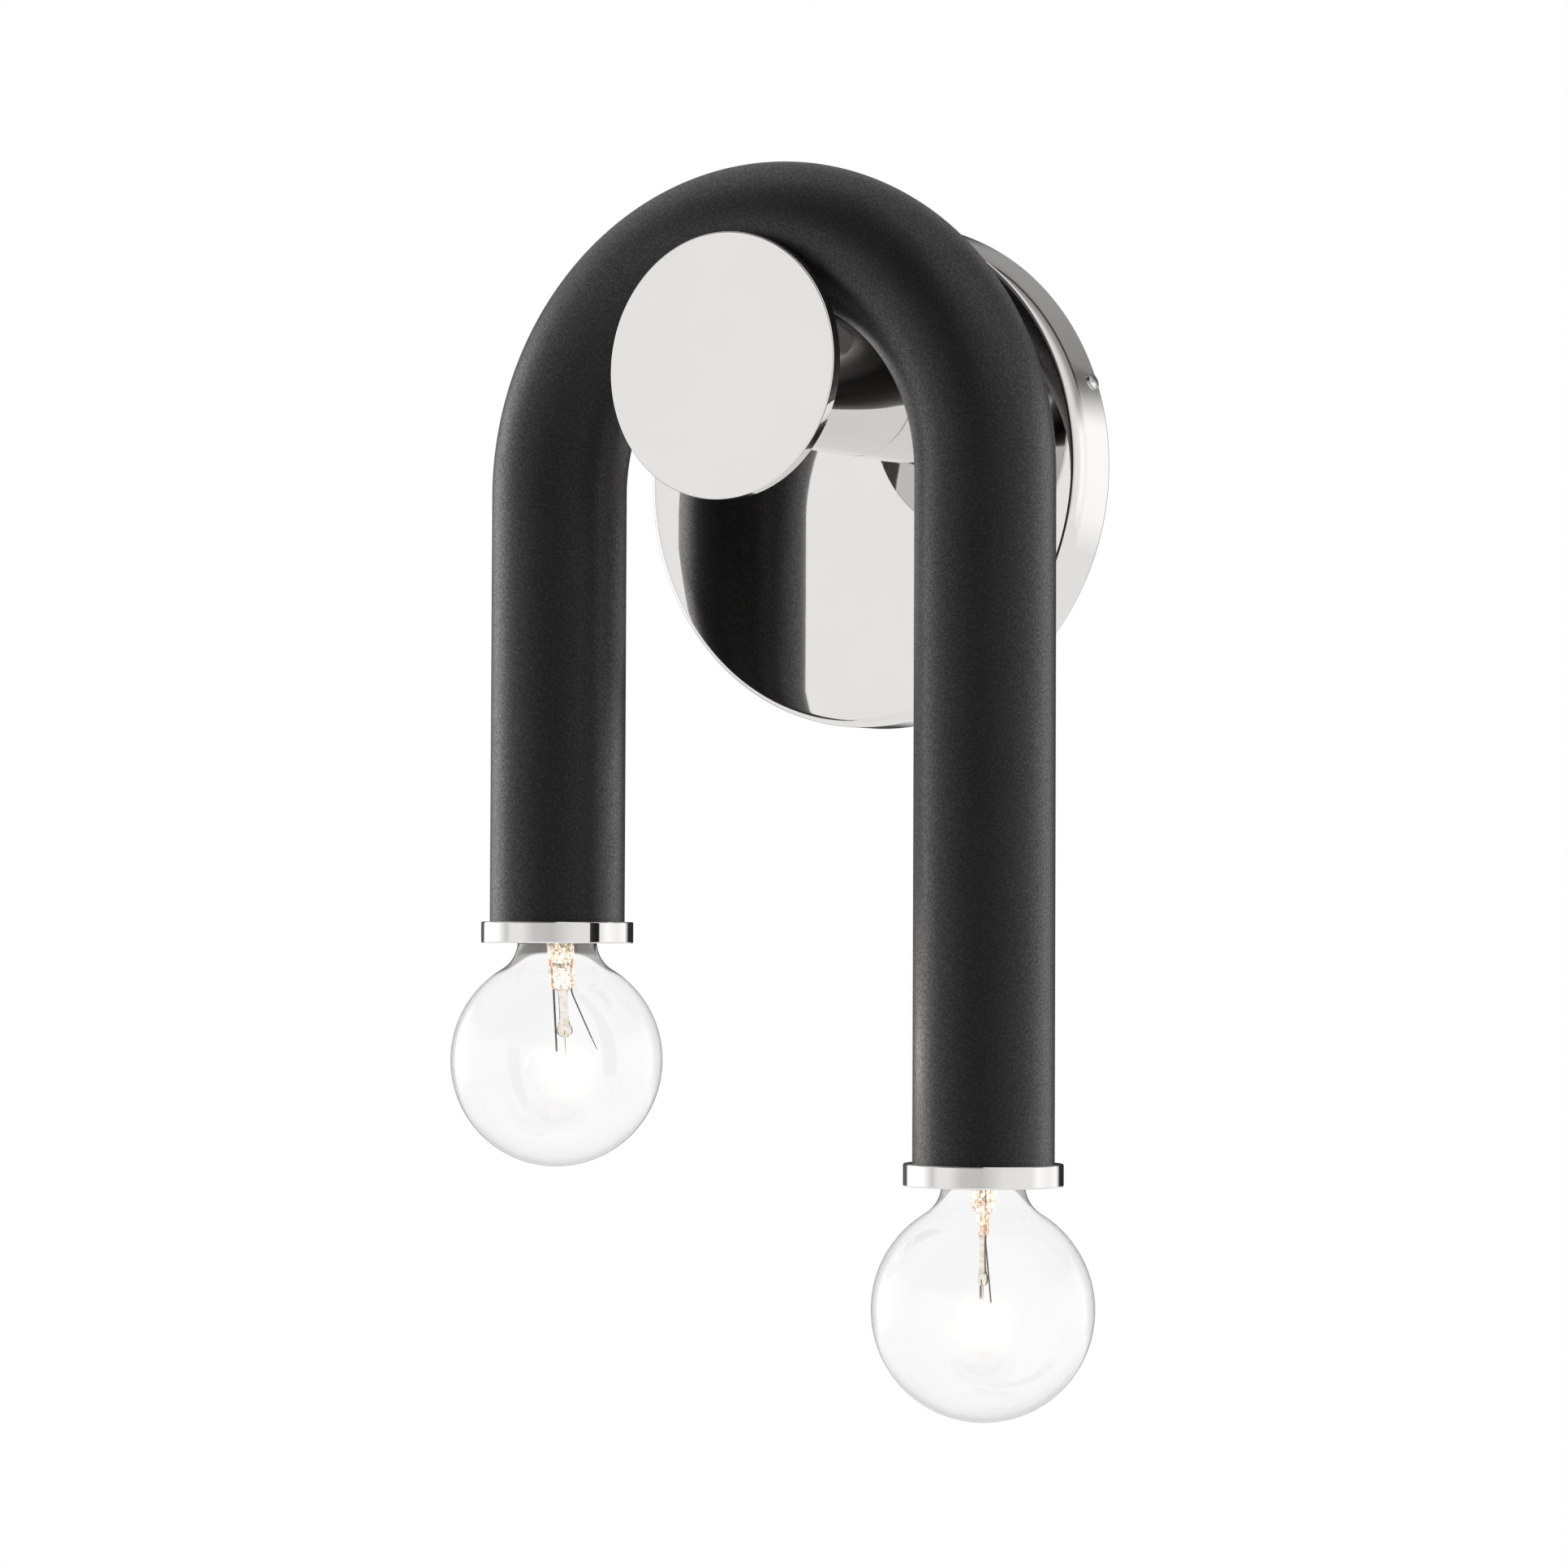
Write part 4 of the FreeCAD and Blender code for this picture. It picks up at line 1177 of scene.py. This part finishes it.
@dataclass
class Arm(Assembly):
    """Black tube bent over the stem, with its clamp and the wires inside."""

    wall: float = 1.5 * MM
    facets: int = 96
    bend_steps: int = 120
    crown_hole: float = 5.2 * MM
    collar_thickness: float = 5.3 * MM

    def build(self) -> None:
        """Make the tube and dress what it holds."""
        self.make_tube()
        self.dress(ZINC_STEEL, "crown_saddle", "crown_bush", "crown_nipple", "crown_seat", "crown_nut")
        self.dress(WIRE_JACKET, "left_wires", "right_wires")

    def make_tube(self) -> None:
        """Pull a circle up the left leg, round the bend and down the right leg."""
        low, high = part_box("arm_tube")
        radius = (high.y - low.y) / 2
        depth = (high.y + low.y) / 2
        leg = high.x - radius
        bend = high.z - radius - leg
        foot = Side.LEFT.mouth.z + self.collar_thickness
        Bench.clear()
        bpy.ops.mesh.primitive_circle_add(vertices=self.facets, radius=radius, location=(-leg, depth, foot))
        tube = bpy.context.object
        tube.name = "arm_bent_tube"
        Bench.edit_all(tube)
        bpy.ops.mesh.extrude_region_move(TRANSFORM_OT_translate={"value": UP * (bend - foot)})
        bpy.ops.mesh.spin(steps=self.bend_steps, angle=math.pi, center=(0, depth, bend), axis=INTO_ROOM)
        bpy.ops.mesh.extrude_region_move(TRANSFORM_OT_translate={"value": UP * (low.z - bend)})
        Bench.close_seams(tube)
        Bench.thicken(tube, self.wall)
        under = Vector((0, depth, high.z - radius * 3))
        Bench.drill(tube, under, under + UP * radius * 2, self.crown_hole)
        Bench.polish(tube)
        self.fit(tube, BLACK_COAT, "arm_tube")


@dataclass
class Foot(Assembly):
    """Polished collar and socket at each end of the arm."""

    thickness: float = 5.3 * MM
    edge_radius: float = 0.4 * MM
    mouth_radius: float = 10.9 * MM
    lip: float = 3.0 * MM
    spigot_radius: float = 15.1 * MM
    counterbore_radius: float = 13.6 * MM
    groove_floor: float = 7.0 * MM
    groove_height: float = 1.1 * MM
    groove_depth: float = 0.8 * MM
    shell: Thread = Thread(depth=0.05 * MM, pitch=2.54 * MM, wall=0.35 * MM)
    facets: int = 160

    def build(self) -> None:
        """Make one collar and one socket shell and copy them to both feet."""
        collar = self.make_collar()
        shell = self.shell.stand("shell_pattern", "left_socket_shell")
        parts = (
            (collar, "polished_collar", POLISHED_NICKEL, "collar"),
            (shell, "threaded_shell", PRESSED_BRASS, "socket_shell"),
        )
        for side in Side:
            for pattern, name, finish, node in parts:
                piece = Bench.copy_to(pattern, side.node(name), side.mouth)
                self.fit(piece, finish, side.node(node))
            self.dress(PORCELAIN, side.node("socket_body"))
            self.dress(ZINC_STEEL, side.node("retaining_ring"))
            self.dress(PRESSED_BRASS, side.node("centre_contact"))
        for pattern, *_ in parts:
            bpy.data.objects.remove(pattern)

    def make_collar(self) -> Object:
        """Turn the collar with its mouth at the origin."""
        low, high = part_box("left_collar")
        radius = (high.x - low.x) / 2
        top = high.z - low.z
        groove_top = self.groove_floor + self.groove_height
        groove_radius = self.counterbore_radius + self.groove_depth
        collar = Lathe(facets=self.facets).turn_ring(
            "collar_pattern",
            (self.mouth_radius, 0), (radius, 0, self.edge_radius),
            (radius, self.thickness, self.edge_radius), (self.spigot_radius, self.thickness),
            (self.spigot_radius, top), (self.counterbore_radius, top),
            (self.counterbore_radius, groove_top), (groove_radius, groove_top),
            (groove_radius, self.groove_floor), (self.counterbore_radius, self.groove_floor),
            (self.counterbore_radius, self.lip), (self.mouth_radius, self.lip),
        )
        Bench.polish(collar)
        return collar


@dataclass
class Lamp(Assembly):
    """Clear globe lamp: glass, cap, mount, leads and a lit coil, modelled once about its own axis."""

    glass_wall: float = 0.5 * MM
    neck_radius: float = 9.8 * MM
    neck_blend_radius: float = 8.0 * MM
    neck_blend_steps: int = 16
    neck_shoulder_radius: float = 4.3 * MM
    neck_shoulder_rise: float = 1.0 * MM
    cap: Thread = Thread(depth=0.45 * MM, pitch=2.54 * MM, wall=0.3 * MM)
    mount_radius: float = 3.4 * MM
    mount_wall: float = 0.7 * MM
    mount_flare: float = 4.7 * MM
    mount_top: float = 13.0 * MM
    mount_tube_end: float = -5.3 * MM
    mount_sides: int = 24
    mount_rounding: int = 2
    pinch_end: float = -11.3 * MM
    # Half widths across and through
    pinch: Pair = (3.25 * MM, 1.5 * MM)
    post: Pair = (1.1 * MM, 0.8 * MM)
    button: Pair = (2.2 * MM, 1.4 * MM)
    button_rise: float = 1.6 * MM
    button_height: float = -21.7 * MM
    lead_radius: float = 0.26 * MM
    splayed_radius: float = 0.19 * MM
    lead_offset: float = 2.2 * MM
    lead_knee: float = -12.3 * MM
    lead_spread: float = 7.7 * MM
    lead_bend_radius: float = 1.2 * MM
    clad_top: float = -4.0 * MM
    support_radius: float = 0.08 * MM
    filament_height: float = -26.8 * MM
    filament_sag: float = 4.6 * MM
    coil_radius: float = 0.42 * MM
    coil_wire_radius: float = 0.09 * MM
    coil_turns: int = 52
    coil_points: int = 10
    globe_steps: int = 80
    facets: int = 128
    angles: Pair = (33.0, -45.0)
    leans: Pair = (3.2, 0.0)
    lean_heading: float = 33.0

    def __post_init__(self) -> None:
        """Read the lamp's own frame off the left lamp's nodes."""
        low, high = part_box("left_lamp_glass")
        self.globe_radius = (high.x - low.x) / 2
        self.globe_height = low.z + self.globe_radius - Side.LEFT.mouth.z
        self.stub_top = high.z - Side.LEFT.mouth.z

    def build(self) -> None:
        """Make each piece once, copy it to both feet and dress it."""
        parts = {
            "globe": (self.make_glass(), CLEAR_GLASS, "lamp_glass"),
            "cap": (self.cap.stand("cap_pattern", "left_lamp_base"), LAMP_CAP, "lamp_base"),
            "mount": (self.make_mount(), MOUNT_GLASS, "lamp_mount"),
            "leads": (self.make_leads(), LEAD_WIRE, "lamp_leads"),
            "coil": (self.make_coil(), HOT_TUNGSTEN, "lamp_filament"),
        }
        for side, degrees, lean in zip(Side, self.angles, self.leans):
            mouth = side.mouth
            pinch_end = mouth.z + self.pinch_end
            for name, (pattern, finish, node) in parts.items():
                piece = Bench.copy_to(pattern, side.node(f"lamp_{name}_made"), mouth, degrees)
                if name in ("mount", "leads", "coil"):
                    Bench.lean(piece, mouth + UP * self.mount_top, self.lean_heading, lean)
                self.fit(piece, finish, side.node(node), body=side.lamp_body)
                if name == "globe":
                    piece.visible_shadow = False
                if name == "leads":
                    self.dress_span(piece, COPPER_CLAD, pinch_end, mouth.z + self.clad_top)
                if name == "mount":
                    self.dress_span(piece, POST_GLASS, mouth.z + self.filament_height, pinch_end)
            self.dress(BLACK_INSULATOR, side.node("lamp_insulator"))
            self.dress(SOLDER, side.node("lamp_tip"))
        for pattern, _, _ in parts.values():
            bpy.data.objects.remove(pattern)

    @staticmethod
    def dress_span(piece: Object, finish: Finish, low: float, high: float) -> None:
        """Give the faces between two heights a finish of their own.

        Args:
            piece: The piece in its place.
            finish: What the span is dressed in.
            low: The span's lower height.
            high: Its upper height.
        """
        piece.data.materials.append(finish.material())
        for face in piece.data.polygons:
            if low < face.center.z < high:
                face.material_index = 1

    def make_glass(self) -> Object:
        """Turn the globe, its blended neck, shoulder and stub, and give the glass its wall."""
        blend_centre = self.neck_radius + self.neck_blend_radius
        reach = self.globe_radius + self.neck_blend_radius
        climb = math.sqrt(reach**2 - blend_centre**2)
        join = math.degrees(math.atan2(climb, blend_centre))
        stub = self.neck_radius - self.neck_shoulder_radius
        glass = Lathe(facets=self.facets).turn(
            "globe_pattern",
            Line(0, self.globe_height - self.globe_radius),
            [
                Arc(0, self.globe_height, 90 + join, self.globe_steps),
                Arc(blend_centre, self.globe_height + climb, -join, self.neck_blend_steps),
                Line(self.neck_radius, self.neck_shoulder_rise),
                Arc(stub, self.neck_shoulder_rise, 90),
                Line(stub, self.stub_top),
            ],
        )
        Bench.thicken(glass, self.glass_wall)
        Bench.smooth(glass)
        return glass

    def make_mount(self) -> Object:
        """Grow the mount in glass: bore, flare, tube, pinch, post and button."""
        bore = self.mount_radius - self.mount_wall
        inside = self.mount_tube_end + self.mount_wall
        neck = self.mount_top - self.mount_radius
        pinch_rise = (self.mount_tube_end - self.pinch_end) / 4
        pinch, post = Ring(self.pinch_end, *self.pinch), Ring(self.pinch_end, *self.post)
        button = Ring(self.button_height, *self.button)
        rings = [
            Ring(inside, bore / 5, bore / 5),
            Ring(inside, bore * 0.8, bore * 0.8),
            Ring(inside + self.mount_wall, bore, bore),
            Ring(neck, bore, bore),
            Ring(self.mount_top, self.mount_flare - self.mount_wall, self.mount_flare - self.mount_wall),
            Ring(self.mount_top, self.mount_flare, self.mount_flare),
            Ring(neck, self.mount_radius, self.mount_radius),
            Ring(inside + self.mount_wall, self.mount_radius, self.mount_radius),
            Ring(self.mount_tube_end, self.mount_radius, self.mount_radius * 0.8),
            pinch.at(self.mount_tube_end - pinch_rise),
            pinch.at(self.pinch_end + pinch_rise),
            pinch.at(self.pinch_end, 0.9, 0.9),
            post.at(self.pinch_end, 1.3, 1.2),
            post.at(self.pinch_end - pinch_rise),
            post.at(self.button_height + self.button_rise * 1.4),
            button.at(self.button_height + self.button_rise * 0.7, 0.8, 0.8),
            button,
            button.at(self.button_height - self.button_rise * 0.7, 0.75, 0.75),
            button.at(self.button_height - self.button_rise, 0.25, 0.25),
        ]
        mount = loft("mount_pattern", rings, self.mount_sides, self.mount_rounding)
        Bench.take(mount)
        bpy.ops.object.shade_smooth()
        return mount

    def make_leads(self) -> Object:
        """Draw both lead wires and the coil's support and join them."""
        straight = self.start_lead("leads_pattern", -self.lead_offset)
        straight.line(Vector((-self.lead_offset, 0, self.filament_height)))
        leads = straight.as_wire(self.lead_radius)
        splayed = self.start_lead("splayed_lead", self.lead_offset)
        splayed.line(Vector((self.lead_offset, 0, self.lead_knee)), self.lead_bend_radius)
        splayed.line(Vector((self.lead_spread, 0, self.filament_height)))
        others = [splayed.as_wire(self.splayed_radius)]
        support = Drawing("support", UP * self.button_height)
        support.line(UP * (self.filament_height - self.filament_sag + self.coil_radius))
        others.append(support.as_wire(self.support_radius))
        Bench.take(leads)
        for wire in others:
            wire.select_set(True)
        bpy.ops.object.join()
        Bench.smooth(leads)
        return leads

    def start_lead(self, name: str, offset: float) -> Drawing:
        """Draw a lead wire through the mount to the end of the pinch.

        Args:
            name: Name of the wire.
            offset: Its distance from the axis.

        Returns:
            The drawing, at the end of the pinch.
        """
        drawing = Drawing(name, Vector((offset, 0, self.mount_top)))
        for height in (self.clad_top, self.pinch_end):
            drawing.line(Vector((offset, 0, height)))
        return drawing

    def make_coil(self) -> Object:
        """Wind the coil along a sagging arc between the lead wires."""
        half_span = (self.lead_spread + self.lead_offset) / 2
        radius = (half_span**2 + self.filament_sag**2) / (2 * self.filament_sag)
        half_angle = math.asin(half_span / radius)
        height = self.filament_height - self.filament_sag + radius
        centre = Vector((self.lead_spread - half_span, 0, height))
        count = self.coil_turns * self.coil_points

        def spot(step: int) -> Vector:
            """Place of one point of the coil."""
            along = half_angle * (2 * step / count - 1)
            turn = math.tau * step / self.coil_points
            out = Vector((math.sin(along), 0, -math.cos(along)))
            round_wire = out * math.cos(turn) - INTO_ROOM * math.sin(turn)
            return centre + out * radius + round_wire * self.coil_radius

        drawing = Drawing("coil_pattern", spot(0))
        for step in range(1, count + 1):
            drawing.line(spot(step))
        coil = drawing.as_wire(self.coil_wire_radius, resolution=1)
        Bench.take(coil)
        bpy.ops.object.shade_smooth()
        return coil


@dataclass
class CoilLight:
    """Light that each lit coil gives to what is round it."""

    power: float = 0.03
    radius: float = 2.5 * MM
    colour: Colour = (1.0, 0.93, 0.74)

    def build(self) -> None:
        """Put a small lamp at each coil, on the lamp's own body."""
        for side in Side:
            data = bpy.data.lights.new(side.node("coil_light"), "POINT")
            data.energy = self.power
            data.color = self.colour
            data.shadow_soft_size = self.radius
            light = bpy.data.objects.new(data.name, data)
            bpy.context.scene.collection.objects.link(light)
            light.location = middle(side.node("lamp_filament"))
            light.visible_camera = False
            light.visible_transmission = False
            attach(light, side.lamp_body)


@dataclass(frozen=True)
class Viewpoint:
    """The photograph's camera, fitted to the edges of the canopy, disc, tube and globes."""

    place: tuple[float, float, float] = (0.673157, -1.080943, -0.115746)
    yaw: float = 33.112
    pitch: float = 1.745
    roll: float = 0.230
    focal_pixels: float = 6270.5
    image_pixels: int = 1932
    sensor: float = 36.0

    def build(self) -> None:
        """Add the camera and make it the scene's."""
        data = bpy.data.cameras.new("photo_camera")
        data.sensor_width = self.sensor
        data.lens = self.sensor * self.focal_pixels / self.image_pixels
        camera = bpy.data.objects.new("photo_camera", data)
        bpy.context.scene.collection.objects.link(camera)
        camera.matrix_world = Matrix.Translation(self.place)
        for degrees, axis in ((self.yaw, "Z"), (90 + self.pitch, "X"), (self.roll, "Z")):
            camera.matrix_world = camera.matrix_world @ Matrix.Rotation(math.radians(degrees), 4, axis)
        bpy.context.scene.camera = camera


@dataclass
class Studio:
    """Plain studio: a ring of soft light round the object, a pale floor and a white backdrop."""

    floor_drop: float = 1.2
    floor_radius: float = 4.5
    floor_facets: int = 96
    floor_colour: Colour = (0.86, 0.86, 0.86)
    floor_whiteness: float = 0.85
    # Levels of light by degrees from the front towards the right: at eye level, above it and below it
    eye_level: tuple[Pair, ...] = (
        (-180, 0.03), (-150, 0.03), (-146, 0.10), (-114, 0.12), (-104, 1.7), (-92, 1.7), (-62, 1.15),
        (-48, 0.70), (-38, 0.95), (-20, 0.95), (0, 0.66), (28, 0.62), (60, 0.90), (104, 0.95),
        (116, 1.22), (138, 1.08), (160, 1.22), (172, 0.03), (180, 0.03),
    )
    upper_level: tuple[Pair, ...] = (
        (-180, 0.34), (-140, 0.34), (-110, 0.50), (-55, 0.50), (-38, 0.10), (28, 0.10), (38, 0.85),
        (104, 0.85), (126, 0.40), (146, 0.30), (150, 0.05), (158, 0.05), (163, 0.30), (180, 0.34),
    )
    lower_level: tuple[Pair, ...] = (
        (-180, 0.85), (-120, 0.85), (-60, 1.0), (60, 1.0), (120, 0.95), (180, 0.85),
    )
    upper_start: Pair = (0.22, 0.42)
    lower_start: Pair = (-0.10, -0.30)

    def build(self) -> None:
        """Set up the view, the world and the floor."""
        bpy.context.scene.view_settings.view_transform = "Standard"
        self.make_world()
        self.make_floor()

    def make_world(self) -> None:
        """Light the object by direction and show white behind it."""
        world = bpy.data.worlds.new("studio")
        bpy.context.scene.world = world
        graph = Graph.emptied(world)
        way = graph.add("SeparateXYZ", {0: graph.add("TexCoord").outputs["Generated"]}).outputs
        azimuth = graph.number("ARCTAN2", way["X"], graph.number("MULTIPLY", way["Y"], -1.0))
        share = graph.number("MULTIPLY_ADD", azimuth, 1 / math.tau, 0.5)
        level = self.ring(graph, share, self.eye_level)
        for start, levels in ((self.upper_start, self.upper_level), (self.lower_start, self.lower_level)):
            reach = graph.span(way["Z"], start, soft=True)
            level = graph.mix("FLOAT", reach, level, self.ring(graph, share, levels))
        path = graph.add("LightPath").outputs
        backdrop = graph.number("MAXIMUM", path["Is Camera Ray"], path["Is Transmission Ray"])
        strength = graph.mix("FLOAT", backdrop, level, 1.0)
        light = graph.add("Background", {"Color": WHITE, "Strength": strength})
        graph.add("OutputWorld", {"Surface": light.outputs[0]})

    @staticmethod
    def ring(graph: Graph, share: Socket, levels: Sequence[Pair]) -> Socket:
        """Level of light round the object.

        Args:
            graph: The world's nodes.
            share: The way round, from 0 to 1.
            levels: Pairs of a direction in degrees and a level.

        Returns:
            The level as a socket.
        """
        brightest = max(level for _, level in levels)
        ramp = graph.add("ValToRGB", {0: share})
        stops = ramp.color_ramp.elements
        stops.remove(stops[-1])
        for index, (degrees, level) in enumerate(levels):
            place = degrees / 360 + 0.5
            stop = stops.new(place) if index else stops[0]
            stop.position = place
            stop.color = (*[level / brightest] * 3, 1)
        return graph.number("MULTIPLY", ramp.outputs[0], brightest)

    def make_floor(self) -> None:
        """Lay a pale round floor far below the object, which keeps its shadow."""
        Bench.clear()
        bpy.ops.mesh.primitive_circle_add(
            vertices=self.floor_facets,
            radius=self.floor_radius,
            fill_type="NGON",
            location=-UP * self.floor_drop,
        )
        floor = bpy.context.object
        floor.name = "pale_floor"
        material = bpy.data.materials.new("pale_floor")
        graph = Graph.emptied(material)
        plain = graph.add("BsdfDiffuse", {"Color": self.floor_colour})
        white = graph.add("Emission", {"Color": WHITE, "Strength": 1.0})
        path = graph.add("LightPath").outputs
        through = graph.number("MAXIMUM", path["Is Transmission Ray"], path["Is Glossy Ray"])
        seen = graph.number("MAXIMUM", path["Is Camera Ray"], through)
        share = graph.number("MULTIPLY", seen, self.floor_whiteness)
        mixed = graph.add("MixShader", {0: share, 1: plain.outputs[0], 2: white.outputs[0]})
        graph.add("OutputMaterial", {"Surface": mixed.outputs[0]})
        floor.data.materials.append(material)


def main() -> None:
    """Build the studio and each sub-assembly in order."""
    logging.basicConfig(level=logging.INFO, format="%(name)s %(message)s")
    Viewpoint().build()
    Studio().build()
    for assembly in (Canopy(), Stem(), Arm(), Foot(), Lamp(), CoilLight()):
        assembly.build()
        LOG.info("%s is done", type(assembly).__name__)


if __name__ == "__main__":
    main()
